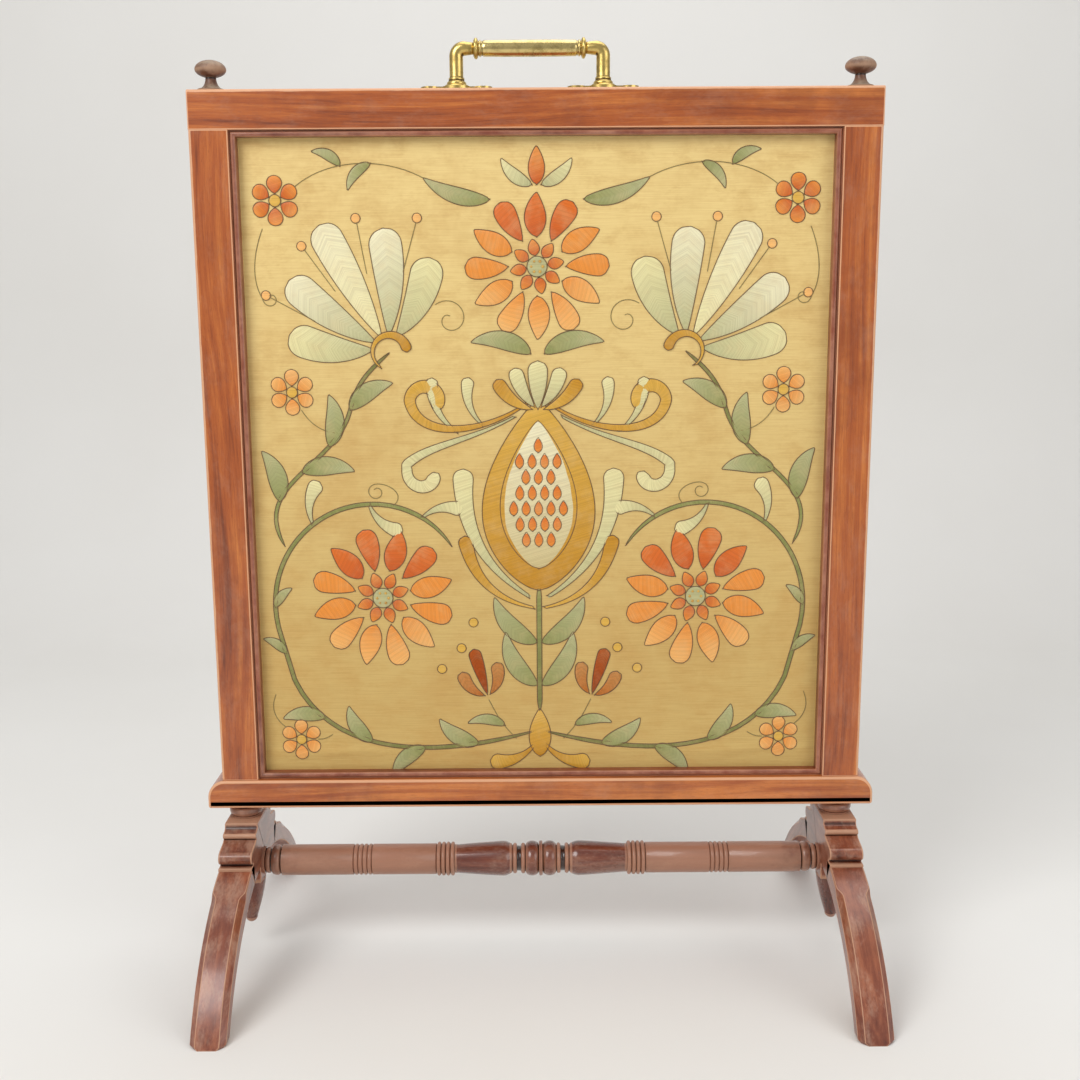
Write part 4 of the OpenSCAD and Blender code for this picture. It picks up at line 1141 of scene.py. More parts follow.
@dataclass
class TrestleEnd:
    """One end of the trestle: its collar, moulded head, drop and two arched legs."""

    side: str
    leg_top: Flat = (56.0, 98.5)
    root_y: float = 46.0
    foot_len: float = 17.0
    boss_y: float = 20.0
    chamfer: float = 5.0
    small_chamfer: float = 0.9
    stop_y: float = 78.0
    stop_run: float = 9.0
    sole_round: float = 3.0
    arris: float = 0.7

    def __post_init__(self) -> None:
        """Works out the legs' arcs from the frame."""
        self.head = Box.of(f"head_{self.side}")
        self.leg = Box.of(f"rear_leg_{self.side}")
        self.x = self.head.mid.x
        self.half = self.head.size.x / 2
        self.foot_y = self.leg.high.y
        self.arch_z = self.leg_top[1] - 12.0
        self.outer_c = self.arc_centre(self.leg_top, self.foot_y)
        self.inner_c = self.arc_centre((self.boss_y, self.arch_z), self.foot_y - self.foot_len)

    @staticmethod
    def arc_centre(top: Flat, foot: float) -> float:
        """Height of the middle of an arc about the middle plane, through a point and the floor."""
        return (top[0] ** 2 + top[1] ** 2 - foot**2) / (2 * top[1])

    @staticmethod
    def arc_points(centre: float, start: Flat, end: Flat, count: int) -> list[Flat]:
        """Points along an arc about (0, centre)."""
        a = math.atan2(start[1] - centre, start[0])
        b = math.atan2(end[1] - centre, end[0])
        r = math.hypot(start[0], start[1] - centre)
        return [
            (r * math.cos(a + (b - a) * k / count), centre + r * math.sin(a + (b - a) * k / count))
            for k in range(count + 1)
        ]

    def leg_section(self, depth: float, chamfer: float, tuck: float) -> list[Flat]:
        """A leg's section: half its width to each side, and its depth from its inner face."""
        half = self.half - tuck
        chamfer = min(chamfer, depth * 0.6, half * 0.6)
        corners = [(-half, 0.0, self.arris), (half, 0.0, self.arris), (half, depth - chamfer, 0.35),
                   (half - chamfer, depth, 0.35), (chamfer - half, depth, 0.35), (-half, depth - chamfer, 0.35)]
        return filleted(corners, 2, 0.5)

    def leg_rings(self, mirror: int) -> list[Ring]:
        """Rings from the joint under the head down to the sole.

        Args:
            mirror: 1 for the rear leg, -1 for the front one.

        Returns:
            The rings.
        """
        count = 64
        inner_top_z = self.inner_c + math.sqrt(
            (self.foot_y - self.foot_len) ** 2 + self.inner_c**2 - self.root_y**2
        )
        outer = self.arc_points(self.outer_c, self.leg_top, (self.foot_y, 0.0), count)
        inner = self.arc_points(self.inner_c, (self.root_y, inner_top_z), (self.foot_y - self.foot_len, 0.0), count)
        outer = [(self.root_y + 0.4, self.leg_top[1])] + outer
        inner = [inner[0]] + inner
        rings = []
        for (oy, oz), (iy, iz) in zip(outer, inner):
            out = Vector((oy - iy, oz - iz))
            depth = out.length
            out.normalize()
            opened = smooth(oy, self.stop_y, self.stop_y + self.stop_run)
            chamfer = self.small_chamfer + (self.chamfer - self.small_chamfer) * opened
            near = max(0.0, self.sole_round - max(oz, 0.0))
            tuck = self.sole_round - math.sqrt(max(0.0, self.sole_round**2 - near**2))
            rings.append([
                Vector((self.x + across, mirror * (iy + out.x * up), iz + out.y * up))
                for across, up in self.leg_section(depth, chamfer, min(tuck, 2.4))
            ])
        return rings

    def head_outline(self) -> list[Flat]:
        """The head seen from the side: lip, cove, bead, slope, nose, fillet, arch and boss."""
        top, low = self.head.high.z, self.head.low.z
        nose, r = (48.3, top - 22.3), 5.7
        step_y, step_z, bead = 31.0, top - 6.5, 2.5
        boss_arch = self.inner_c + math.sqrt((self.foot_y - self.foot_len) ** 2 + self.inner_c**2 - self.boss_y**2)
        root_arch = self.inner_c + math.sqrt((self.foot_y - self.foot_len) ** 2 + self.inner_c**2 - self.root_y**2)
        half: list[Flat] = [(self.boss_y - 0.6, low), (self.boss_y, low + 0.6), (self.boss_y, boss_arch - 0.4)]
        half += self.arc_points(self.inner_c, (self.boss_y + 0.4, boss_arch - 0.04), (self.root_y - 0.2, root_arch), 10)
        half += [(self.root_y, root_arch + 0.4), (self.root_y, 98.4), (55.2, 98.4), (55.5, 98.7), (55.5, 100.8),
                 (55.2, 101.1), (49.0, 101.1), (47.6, 101.5), (47.4, 102.4)]
        half += [(nose[0] + r * math.cos(t), nose[1] + r * math.sin(t))
                 for t in (math.radians(-96 + 182 * k / 20) for k in range(21))]
        half += [(47.0, top - 16.0), (34.0, step_z - 7.2), (32.2, step_z - 6.2), (30.9, step_z - 5.4)]
        half += [(step_y + bead * math.cos(t), step_z - bead + bead * math.sin(t))
                 for t in (math.radians(-84 + 168 * k / 10) for k in range(11))]
        half += [(step_y - 7 * math.cos(t), top - 3 - 3.5 * math.sin(t))
                 for t in (math.radians(80 - 76 * k / 7) for k in range(8))]
        half += [(24.0, top - 2.6), (24.0, top - 0.5), (23.5, top)]
        return half + [(-y, z) for y, z in reversed(half)]

    def build(self, finishes: Finishes, turner: Turner) -> None:
        """Makes the end's five pieces."""
        side = self.side
        name = f"crosshead_{side}"
        rings = bar(self.head_outline(), Axis.X, self.head.low.x, self.head.high.x, 0.7)
        wooden(name, to_mesh(name, [loft(rings)]), finishes.trestle, Vector((0, 1, 0)), "trestle_wood",
               [f"head_{side}"])
        for where, mirror in (("front", -1), ("rear", 1)):
            name = f"leg_{where}_{side}"
            along = Vector((0, mirror * 118, -90))
            wooden(name, to_mesh(name, [loft(self.leg_rings(mirror))]), finishes.trestle, along, "trestle_wood",
                   [f"{where}_leg_{side}"], 24)
        self.turnings(finishes, turner)

    def turnings(self, finishes: Finishes, turner: Turner) -> None:
        """Makes the collar on the head and the drop below it."""
        top, low = self.head.high.z, self.head.low.z
        box = Box.of(f"collar_{self.side}")
        r, height = box.size.x / 2, Box.of("base_rail").low.z - top
        bead = height * 0.62
        shape = Profile().to((0.0, r * 0.84), (0.3, r * 0.88), (1.3, r * 0.88), (1.6, r * 0.8))
        shape.bead(1.7, bead, r * 0.8, r, 14).to((bead + 1.9, r * 0.72)).cove(bead + 2.0, 1.6, r * 0.74, r * 0.68, 6)
        points = shape.to((height - 0.9, r * 0.76), (height, r * 0.76)).ordered()
        name = f"turned_collar_{self.side}"
        mesh = turner.rod(name, [Vector((self.x, 0, top + a)) for a, _ in points], [b for _, b in points],
                          finishes.turned)
        wooden(name, mesh, finishes.turned, Vector((0, 0, 1)), "trestle_wood", [f"collar_{self.side}"], 50)
        box = Box.of(f"drop_{self.side}")
        r, height = box.size.x / 2, low - box.low.z
        tip = r * 0.38
        body = height - tip
        shape = Profile().to((0.0, r * 0.93), (0.4, r * 0.96), (1.5, r * 0.985))
        shape.to(*[(2 + (body - 2) * t, r - (r - tip) * t**1.35) for t in (k / 16 for k in range(17))])
        shape.to(*[(body + tip * math.sin(t), tip * math.cos(t)) for t in (math.radians(12 * k) for k in range(1, 8))])
        points = shape.ordered()
        name = f"turned_drop_{self.side}"
        mesh = turner.rod(name, [Vector((self.x, 0, low - a)) for a, _ in points], [b for _, b in points],
                          finishes.turned)
        wooden(name, mesh, finishes.turned, Vector((0, 0, 1)), "trestle_wood", [f"drop_{self.side}"], 50)


@dataclass
class Stretcher:
    """The ring-turned bar between the two heads."""

    plain: float = 14.0
    ring: float = 15.5
    knop: float = 16.0

    def half_profile(self, half: float) -> list[Flat]:
        """From the middle to one end."""
        p, k = self.plain, self.knop
        shape = Profile().to((0.0, k), (1.0, k), (1.4, k - 0.5), (1.7, k - 1.7))
        shape.bead(1.9, 12.4, p * 0.84, k, 14).to((14.4, p * 0.84)).bead(14.6, 3.8, p * 0.86, p, 8)
        shape.to((18.6, p * 0.84), (19.2, p * 0.82), (21.6, p * 0.82), (22.0, p * 0.84))
        shape.bead(22.2, 3.8, p * 0.86, p, 8).to((26.3, p * 0.88), (26.9, p * 0.9))
        for i in range(21):
            t = i / 20
            if t < 0.15:
                radius = p * 0.94 + (k - p * 0.94) * math.sin(math.pi / 2 * t / 0.15)
            else:
                radius = k - (k - p * 0.92) * ((t - 0.15) / 0.85) ** 1.15
            shape.to((27 + 53 * t, radius))
        shape.rings(80, 17, 4, p * 0.88, self.ring).to((97.2, p * 0.95), (97.8, p), (156.4, p), (156.9, p * 0.94))
        shape.rings(157, 17, 4, p * 0.86, p * 1.01).to((174.2, p * 0.95), (174.8, p), (half - 17, p))
        shape.to((half - 16.5, p * 0.8), (half - 16.1, p * 0.76)).bead(half - 15.9, 8.4, p * 0.78, p * 0.99, 12)
        shape.to((half - 7.2, p * 0.72)).bead(half - 6.5, 4.6, p * 0.72, p * 0.86, 8)
        return shape.to((half - 1.6, p * 0.84), (half - 1.3, p * 0.9), (half, p * 0.9)).ordered()

    def build(self, finishes: Finishes, turner: Turner) -> None:
        """Makes the stretcher."""
        box = Box.of("stretcher")
        half = Box.of("head_right").low.x
        right = self.half_profile(half)
        points = [(-a, b) for a, b in reversed(right[1:])] + right
        path = [Vector((a, box.mid.y, box.mid.z)) for a, _ in points]
        mesh = turner.rod("turned_stretcher", path, [b for _, b in points], finishes.turned)
        wooden("turned_stretcher", mesh, finishes.turned, Vector((1, 0, 0)), "trestle_wood", ["stretcher"], 50)


# The embroidery


class Form(Enum):
    """How a lobe's width runs from its root to its tip."""

    LEAF = "pointed at both ends"
    PETAL = "full, with a round tip"
    CURL = "slender at the root, swelling to a round tip"
    STEM = "one width, pointed at both ends"


DYES = {
    "rust": srgb(208, 92, 16), "flame": srgb(228, 114, 24), "orange": srgb(240, 148, 52),
    "peach": srgb(250, 188, 108), "cream": srgb(240, 230, 170), "ivory": srgb(246, 238, 198),
    "sand": srgb(214, 196, 140), "sage": srgb(190, 188, 136), "moss": srgb(144, 148, 80),
    "olive": srgb(124, 122, 58), "mustard": srgb(200, 140, 18), "gold": srgb(226, 178, 70),
}


def bezier(a: Flat, b: Flat, c: Flat, d: Flat, count: int = 20) -> list[Flat]:
    """Points along a cubic curve."""
    out = []
    for i in range(count + 1):
        t = i / count
        weights = ((1 - t) ** 3, 3 * (1 - t) ** 2 * t, 3 * (1 - t) * t * t, t**3)
        out.append(tuple(sum(w * p[axis] for w, p in zip(weights, (a, b, c, d))) for axis in (0, 1)))
    return out


def polar(centre: Flat, r: float, angle: float) -> Flat:
    """The point at a distance and an angle in degrees from a centre."""
    return (centre[0] + r * math.cos(math.radians(angle)), centre[1] + r * math.sin(math.radians(angle)))


def spiral(centre: Flat, start_r: float, end_r: float, start: float, sweep: float, count: int = 28) -> list[Flat]:
    """Points along a spiral, from an angle in degrees through a sweep."""
    return [
        polar(centre, start_r + (end_r - start_r) * i / count, start + sweep * i / count) for i in range(count + 1)
    ]


def length_of(line: Sequence[Flat]) -> float:
    """A line's length."""
    return sum(math.dist(a, b) for a, b in zip(line, line[1:]))


def resampled(line: Sequence[Flat], count: int) -> list[Flat]:
    """The same line with equal steps."""
    places = [0.0]
    for a, b in zip(line, line[1:]):
        places.append(places[-1] + math.dist(a, b))
    wanted = np.linspace(0, places[-1], count + 1)
    columns = [np.interp(wanted, places, [p[axis] for p in line]) for axis in (0, 1)]
    return [(float(x), float(y)) for x, y in zip(*columns)]


@dataclass(frozen=True)
class Lobe:
    """A petal, leaf, curl or stem worked in satin stitch along a spine."""

    spine: tuple[Flat, ...]
    width: float
    form: Form
    root: str
    tip: str
    layer: int = 0
    vein: bool = False

    def half_width(self, t: float, length: float) -> float:
        """Half the width at a share of the length."""
        half = self.width / 2
        if self.form is Form.LEAF:
            return half * max(0.0, math.sin(math.pi * t**0.8)) ** 0.8
        if self.form is Form.STEM:
            return half * min(1.0, 12 * t, 12 * (1 - t)) ** 0.5
        cap_start = max(0.3, 1 - half / length)
        cap = 1.0 if t < cap_start else math.sqrt(max(0.0, 1 - ((t - cap_start) / (1 - cap_start)) ** 2))
        rise = min(1.0, t / cap_start)
        if self.form is Form.PETAL:
            return half * math.sin(math.pi / 2 * rise) ** 0.75 * cap
        return half * (0.16 + 0.84 * rise**1.25) * cap

    def stations(self) -> list[tuple[Flat, Flat, float, float]]:
        """Places along the spine, each with its sideways direction, half width and distance."""
        length = length_of(self.spine)
        count = max(12, min(110, round(length / 2.2)))
        line = resampled(self.spine, count)
        out = []
        for i, point in enumerate(line):
            a, b = line[max(i - 1, 0)], line[min(i + 1, count)]
            run = math.dist(a, b) or 1.0
            out.append((point, (-(b[1] - a[1]) / run, (b[0] - a[0]) / run), self.half_width(i / count, length),
                        length * i / count))
        return out

    def outline(self) -> list[Flat]:
        """The closed line round the lobe."""
        left = [(p[0] + n[0] * w, p[1] + n[1] * w) for p, n, w, _ in self.stations()]
        right = [(p[0] - n[0] * w, p[1] - n[1] * w) for p, n, w, _ in self.stations()]
        return left + right[::-1][1:-1] + left[:1]

    def mirrored(self) -> Lobe:
        """The same lobe on the other side of the middle."""
        return replace(self, spine=tuple((-x, y) for x, y in self.spine))


@dataclass(frozen=True)
class Disc:
    """A round spot of satin stitch."""

    centre: Flat
    r: float
    dye: str
    layer: int = 0

    def outline(self) -> list[Flat]:
        """The closed line round the disc."""
        return [polar(self.centre, self.r, 15 * k) for k in range(25)]

    def mirrored(self) -> Disc:
        """The same disc on the other side of the middle."""
        return replace(self, centre=(-self.centre[0], self.centre[1]))


@dataclass
class Pattern:
    """Motifs in millimetres from the middle of the panel, +X to the right and +Y up."""

    lobes: list[Lobe] = field(default_factory=list)
    discs: list[Disc] = field(default_factory=list)
    cords: list[list[Flat]] = field(default_factory=list)
    knots: list[Flat] = field(default_factory=list)

    def lobe(self, spine: Sequence[Flat], width: float, form: Form, root: str, tip: str, layer: int = 0,
             vein: bool = False) -> None:
        """Adds a lobe along a spine."""
        self.lobes.append(Lobe(tuple(spine), width, form, root, tip, layer, vein))

    def between(self, a: Flat, b: Flat, width: float, form: Form, root: str, tip: str, bow: float = 0.0,
                layer: int = 0, vein: bool = False) -> None:
        """Adds a lobe from a to b whose middle bows sideways by a share of its length."""
        dx, dy = b[0] - a[0], b[1] - a[1]
        first = (a[0] + dx / 3 - dy * bow, a[1] + dy / 3 + dx * bow)
        second = (a[0] + dx * 2 / 3 - dy * bow, a[1] + dy * 2 / 3 + dx * bow)
        self.lobe(bezier(a, first, second, b), width, form, root, tip, layer, vein)

    def marigold(self, centre: Flat, r: float, turn: float) -> None:
        """Adds a large flower of two rings of petals, deep orange at its top and paler below."""
        for k in range(12):
            angle = turn + 30 * k
            high = math.sin(math.radians(angle))
            tip = "flame" if high > 0.5 else "orange" if high > -0.3 else "peach"
            form = Form.LEAF if k % 2 else Form.PETAL
            self.between(polar(centre, r * 0.4, angle), polar(centre, r, angle), r * 0.3, form,
                         "rust" if high > 0.5 else "orange", tip, 0.05)
        for k in range(8):
            angle = turn + 10 + 45 * k
            self.between(polar(centre, r * 0.15, angle), polar(centre, r * 0.38, angle), r * 0.16, Form.LEAF,
                         "rust", "orange")
        self.discs.append(Disc(centre, r * 0.14, "sage", 1))
        self.knots += [polar(centre, r * 0.08, 60 * k) for k in range(6)]

    def floret(self, centre: Flat, r: float, root: str = "orange", tip: str = "peach") -> None:
        """Adds a small flower of six round petals."""
        for k in range(6):
            angle = 90 + 60 * k
            self.between(polar(centre, r * 0.28, angle), polar(centre, r, angle), r * 0.62, Form.PETAL, root, tip)
        self.discs.append(Disc(centre, r * 0.24, "gold", 1))

    def fan(self, base: Flat, angle: float, size: float, count: int, spread: float, dyes: Sequence[tuple[str, str]],
            bow: float) -> None:
        """Adds a fan of petals that spring from one point, longest in the middle."""
        for k in range(count):
            side = k - (count - 1) / 2
            share = side / ((count - 1) / 2)
            tip = polar(base, size * (1 - 0.28 * abs(share)), angle + share * spread)
            root = polar(base, size * 0.12, angle + share * spread)
            self.between(root, tip, size * 0.23, Form.PETAL, *dyes[abs(round(side)) % len(dyes)], bow * share,
                         vein=True)

    def spray(self, stem: Sequence[Flat], shares: Sequence[float], size: float, root: str, tip: str, first: int,
              width: float = 0.36, form: Form = Form.LEAF, bow: float = 0.16, taper: float = 0.35) -> None:
        """Adds leaves at shares of a stem's length, on one side and the other by turns."""
        line = resampled(stem, 100)
        for k, share in enumerate(shares):
            i = min(99, max(1, round(share * 100)))
            before, after = line[i - 1], line[i + 1]
            heading = math.degrees(math.atan2(after[1] - before[1], after[0] - before[0]))
            side = first if k % 2 == 0 else -first
            reach = size * (1 - taper * share)
            self.between(line[i], polar(line[i], reach, heading + side * 42), reach * width, form, root, tip,
                         -side * bow, vein=form is Form.LEAF)

    def with_mirror(self) -> Pattern:
        """This pattern and its mirror image."""
        return Pattern(
            self.lobes + [lobe.mirrored() for lobe in self.lobes],
            self.discs + [disc.mirrored() for disc in self.discs],
            self.cords + [[(-x, y) for x, y in cord] for cord in self.cords],
            self.knots + [(-x, y) for x, y in self.knots],
        )

    def joined(self, other: Pattern) -> Pattern:
        """This pattern and another."""
        return Pattern(self.lobes + other.lobes, self.discs + other.discs, self.cords + other.cords,
                       self.knots + other.knots)


def side_growth() -> Pattern:
    """The right half: a stem that winds round a marigold and goes up to a fan of cream petals."""
    p = Pattern()
    flower, fan = (140.0, -118.0), (128.0, 100.0)
    low = bezier((3, -243), (70, -262), (184, -280), (222, -194)) + spiral(flower, 100, 78, -28, 172)[1:]
    p.lobe(low, 3.8, Form.STEM, "olive", "moss")
    p.marigold(flower, 64, 15)
    p.spray(low, [0.1, 0.19, 0.28, 0.37], 44, "moss", "sage", 1)
    p.spray(low, [0.5, 0.58], 30, "moss", "sage", -1)
    p.spray(low, [0.74, 0.84, 0.93], 46, "sage", "cream", -1, 0.34, Form.CURL, -0.2, 0.2)
    p.discs += [Disc(polar(flower, 84, angle), 4.2, "gold") for angle in (196, 214, 232)]
    up = bezier((226, -70), (256, -14), (178, 0), (164, 50)) + bezier((164, 50), (158, 76), (142, 88), fan)[1:]
    p.lobe(up, 3.2, Form.STEM, "moss", "olive")
    p.spray(up, [0.2, 0.36, 0.52, 0.7], 48, "moss", "sage", -1, taper=0.1)
    p.fan(fan, 62, 122, 5, 52, [("cream", "ivory"), ("sage", "ivory"), ("sage", "cream")], 0.1)
    for angle in (23, 49, 75, 101):
        p.cords.append([polar(fan, 70, angle), polar(fan, 112, angle + 2)])
        p.discs.append(Disc(polar(fan, 116, angle + 2), 4, "peach"))
    p.lobe(spiral(fan, 15, 15, -60, 240), 9, Form.CURL, "gold", "mustard", 1)
    return p


def side_scrolls() -> Pattern:
    """Scrolls from the middle fruit's crown, small flowers, a tulip and tendrils, on the right."""
    p = Pattern()
    p.lobe(bezier((6, 58), (44, 28), (106, 22), (112, 58)) + spiral((97, 58), 15, 8, 0, 230, 16)[1:], 13, Form.CURL,
           "mustard", "gold")
    p.lobe(bezier((20, 44), (60, 22), (96, 20), (116, 2)) + spiral((100, -6), 17, 7, 30, -220, 16)[1:], 12,
           Form.CURL, "sage", "cream")
    p.between((70, 30), (92, 78), 11, Form.CURL, "sage", "cream", -0.2)
    p.between((48, 36), (60, 78), 11, Form.CURL, "sage", "cream", -0.2)
    p.floret((214, 66), 20)
    p.floret((218, -250), 19)
    p.floret((222, 228), 21, "rust", "orange")
    p.fan((46, -214), 74, 50, 3, 26, [("rust", "flame"), ("orange", "peach")], 0.2)
    p.between((32, -238), (66, -236), 10, Form.LEAF, "moss", "sage", 0.2, vein=True)
    p.between((140, 258), (160, 236), 9, Form.LEAF, "moss", "sage", 0.2)
    p.between((166, 256), (190, 268), 9, Form.LEAF, "moss", "sage", 0.2)
    p.cords += [
        bezier((172, 30), (190, 30), (200, 40), (206, 50)),
        bezier((190, -246), (196, -250), (200, -250), (202, -250)),
        bezier((22, -250), (36, -236), (40, -226), (46, -214)),
        bezier((128, -34), (112, -20), (150, -6), (150, -22)) + spiral((143, -22), 7, 3, 0, -300, 14)[1:],
        bezier((96, 246), (130, 264), (176, 262), (204, 240)),
        spiral((76, 128), 3, 17, 90, -400, 36),
        bezier((234, 204), (244, 180), (244, 160), (236, 146)) + spiral((229, 146), 7, 3, 0, -300, 14)[1:],
        bezier((240, -208), (246, -222), (240, -232), (232, -238)),
    ]
    return p


def middle_growth() -> Pattern:
    """The middle: a foot, a stem, a cut fruit full of seeds, and a marigold above it."""
    p, side = Pattern(), Pattern()
    p.lobe([(0, -268), (0, -222)], 20, Form.LEAF, "mustard", "gold")
    p.lobe([(0, -224), (0, -108)], 4.4, Form.STEM, "olive", "moss")
    p.lobe([(0, -112), (0, 58)], 100, Form.LEAF, "mustard", "gold")
    p.lobe([(0, -92), (0, 40)], 68, Form.LEAF, "sand", "ivory", 1)
    for row in range(7):
        up = -66 + 14 * row
        room = 32 * math.sin(math.pi * ((up + 92) / 132) ** 0.8) ** 0.8
        for k in range(int((room - 4) / 11) + 1):
            out = 11 * k + (5.5 if row % 2 else 0)
            if out < room - 6:
                (side if out else p).lobe([(out, up - 6), (out, up + 7)], 7.4, Form.LEAF, "orange", "flame", 2)
    side.between((5, -256), (46, -272), 15, Form.CURL, "mustard", "gold", -0.2)
    for low, high, out in ((-200, -150, 30), (-160, -118, 40)):
        side.between((2, low), (out, high), 17, Form.LEAF, "moss", "sage", -0.18, vein=True)
    side.between((8, -118), (66, -2), 18, Form.CURL, "sage", "cream", -0.2)
    side.between((4, -128), (66, -62), 13, Form.CURL, "gold", "mustard", -0.24)
    p.lobe([(0, 50), (0, 92)], 17, Form.PETAL, "sage", "cream", 1)
    side.between((3, 52), (20, 86), 13, Form.PETAL, "sage", "cream", -0.1, 1)
    side.between((5, 50), (36, 76), 12, Form.PETAL, "gold", "mustard", -0.16, 1)
    p.marigold((0, 172), 62, 0)
    side.between((6, 98), (58, 108), 16, Form.LEAF, "moss", "sage", 0.18, vein=True)
    side.between((40, 228), (96, 246), 14, Form.LEAF, "moss", "sage", -0.12, vein=True)
    p.lobe([(0, 240), (0, 272)], 14, Form.LEAF, "rust", "orange")
    side.between((4, 240), (30, 262), 11, Form.LEAF, "sage", "cream", -0.15)
    return p.joined(side.with_mirror())


@dataclass
class SilkPanel:
    """The stretched silk and the embroidery that lies on it."""

    step: float = 2.2
    bulge: float = 0.9
    stitch_rise: float = 0.6
    layer_rise: float = 0.35
    stitch_spacing: float = 1.5
    stitch_length: float = 2.5
    stitch_thickness: float = 0.85
    across: int = 8

    def __post_init__(self) -> None:
        """Reads the panel's place from the frame."""
        self.box = Box.of("silk_panel")
        self.sight = (Box.of("moulding_left").high.x, Box.of("moulding_bottom").high.z,
                      Box.of("moulding_right").low.x, Box.of("moulding_top").low.z)
        self.middle = self.box.mid.z

    def rise(self, x: float, z: float) -> float:
        """How far the silk stands out in front of its CAD face, in millimetres."""
        left, low, right, high = self.sight
        inside = min(x - left, right - x, z - low, high - z)
        free = smooth(inside, 0.0, 26.0)
        if free <= 0.0:
            return 0.0
        broad = noise.noise(Vector((x / 110, z / 130, 3.1)))
        ripple = noise.noise(Vector((x / 34, z / 46, 7.7)))
        pucker = noise.noise(Vector((x / 9, z / 13, 1.3)))
        drag = noise.noise(Vector((x / 16, z / 90, 5.0))) * smooth(z, high - 70, high)
        rise = free * (self.bulge * (0.7 + 0.6 * broad) + 0.42 * ripple + 0.12 * pucker + 0.3 * drag)
        fold = low + 17 + 4 * noise.noise(Vector((x / 60, 0.0, 2.0)))
        strength = 0.5 + 0.9 * noise.noise(Vector((x / 75, 0.0, 8.0)))
        crease = 1.5 * max(0.0, strength) * math.exp(-(((z - fold) / 4.2) ** 2))
        return max(0.0, rise) + crease * smooth(inside, 0.0, 12.0)

    def on_silk(self, point: Flat, above: float) -> Vector:
        """A point of the pattern on the silk's surface, a little above it."""
        x, z = point[0], point[1] + self.middle
        return Vector((x, self.box.low.y - self.rise(x, z) - above, z))

    def cloth(self, finishes: Finishes) -> bpy.types.Object:
        """Makes the silk, turned back over the strainer's edges."""
        width, depth, height = self.box.size
        turned = depth - 0.6

        def places(size: float) -> list[float]:
            inner = list(np.linspace(-size / 2, size / 2, round(size / self.step)))
            return [-size / 2 - turned, -size / 2 - turned / 2] + inner + [size / 2 + turned / 2, size / 2 + turned]

        columns, rows = places(width), places(height)
        sheet = bmesh.new()
        grid: list[list[bmesh.types.BMVert | None]] = []
        for v in rows:
            line: list[bmesh.types.BMVert | None] = []
            for u in columns:
                over_u, over_v = max(0.0, abs(u) - width / 2), max(0.0, abs(v) - height / 2)
                if over_u and over_v:
                    line.append(None)
                    continue
                x, z = max(-width / 2, min(width / 2, u)), max(-height / 2, min(height / 2, v)) + self.middle
                line.append(sheet.verts.new(Vector((x, self.box.low.y + over_u + over_v - self.rise(x, z), z)) * MM))
            grid.append(line)
        for low, high in zip(grid, grid[1:]):
            for i in range(len(columns) - 1):
                corners = (low[i], low[i + 1], high[i + 1], high[i])
                if None not in corners:
                    sheet.faces.new(corners)
        mesh = to_mesh("silk_cover", [sheet])
        mesh.shade_smooth()
        mesh.materials.append(finishes.silk)
        cover = hand_over(new_object("silk_cover", mesh), "silk", ["silk_panel"])
        self.flat = ((width + 2 * turned) * MM, (height + 2 * turned) * MM)
        return cover

    def lobe_solid(self, lobe: Lobe, out: SatinMesh) -> None:
        """Adds one lobe's domed stitches to the satin mesh."""
        stations = lobe.stations()
        total = stations[-1][3]
        base = lobe.layer * self.layer_rise
        rows = []
        for point, normal, half, distance in stations:
            share = distance / total
            dye = tuple(a + (b - a) * share for a, b in zip(DYES[lobe.root], DYES[lobe.tip]))
            row = []
            for k in range(self.across + 1):
                side = 2 * k / self.across - 1
                flat = (point[0] + normal[0] * half * side, point[1] + normal[1] * half * side)
                dome = self.stitch_rise * max(0.0, 1 - side**4) ** 0.5 * min(1.0, half / 2.5)
                if lobe.vein:
                    dome *= 1 - 0.4 * math.exp(-((side / 0.16) ** 2))
                slant = 0.75 * abs(side * half) if lobe.vein else 0.3 * side * half
                row.append(out.vertex(self.on_silk(flat, base + dome), dye, distance + slant))
            rows.append(row)
        out.skin(rows)

    def disc_solid(self, disc: Disc, out: SatinMesh) -> None:
        """Adds one disc as rows of a domed round."""
        count, base = 12, disc.layer * self.layer_rise
        rows = []
        for i in range(count + 1):
            along = -math.cos(math.pi * i / count)
            half = math.sqrt(max(0.0, 1 - along**2))
            row = []
            for k in range(self.across + 1):
                side = 2 * k / self.across - 1
                flat = (disc.centre[0] + disc.r * half * side, disc.centre[1] + disc.r * along)
                dome = self.stitch_rise * max(0.0, 1 - side**4) ** 0.5 * half**0.5
                row.append(out.vertex(self.on_silk(flat, base + dome), DYES[disc.dye], disc.r * along))
            rows.append(row)
        out.skin(rows)

    def satin(self, name: str, shapes: Sequence[Lobe | Disc], finishes: Finishes) -> bpy.types.Object:
        """Makes one piece of satin stitch from many shapes."""
        out = SatinMesh()
        for shape in shapes:
            (self.lobe_solid if isinstance(shape, Lobe) else self.disc_solid)(shape, out)
        mesh = out.build(name)
        mesh.materials.append(finishes.floss)
        return hand_over(new_object(name, mesh), "silk")

    def stitched(self, name: str, lines: Sequence[tuple[Sequence[Flat], float]], finish: bpy.types.Material,
                 tree: bpy.types.NodeTree) -> bpy.types.Object:
        """Makes one piece of stem stitch along many lines, each with its height above the silk."""
        raised = []
        for line, above in lines:
            count = max(4, round(length_of(line) / 1.6))
            raised.append([self.on_silk(p, above) for p in resampled(line, count)])
        mesh = grown(name, polyline(name, raised), tree, {
            "Spacing": self.stitch_spacing * MM, "Length": self.stitch_length * MM,
            "Thickness": self.stitch_thickness * MM, "Slant": math.radians(11), "Material": finish,
        })
        mesh.shade_smooth()
        return hand_over(new_object(name, mesh), "silk")

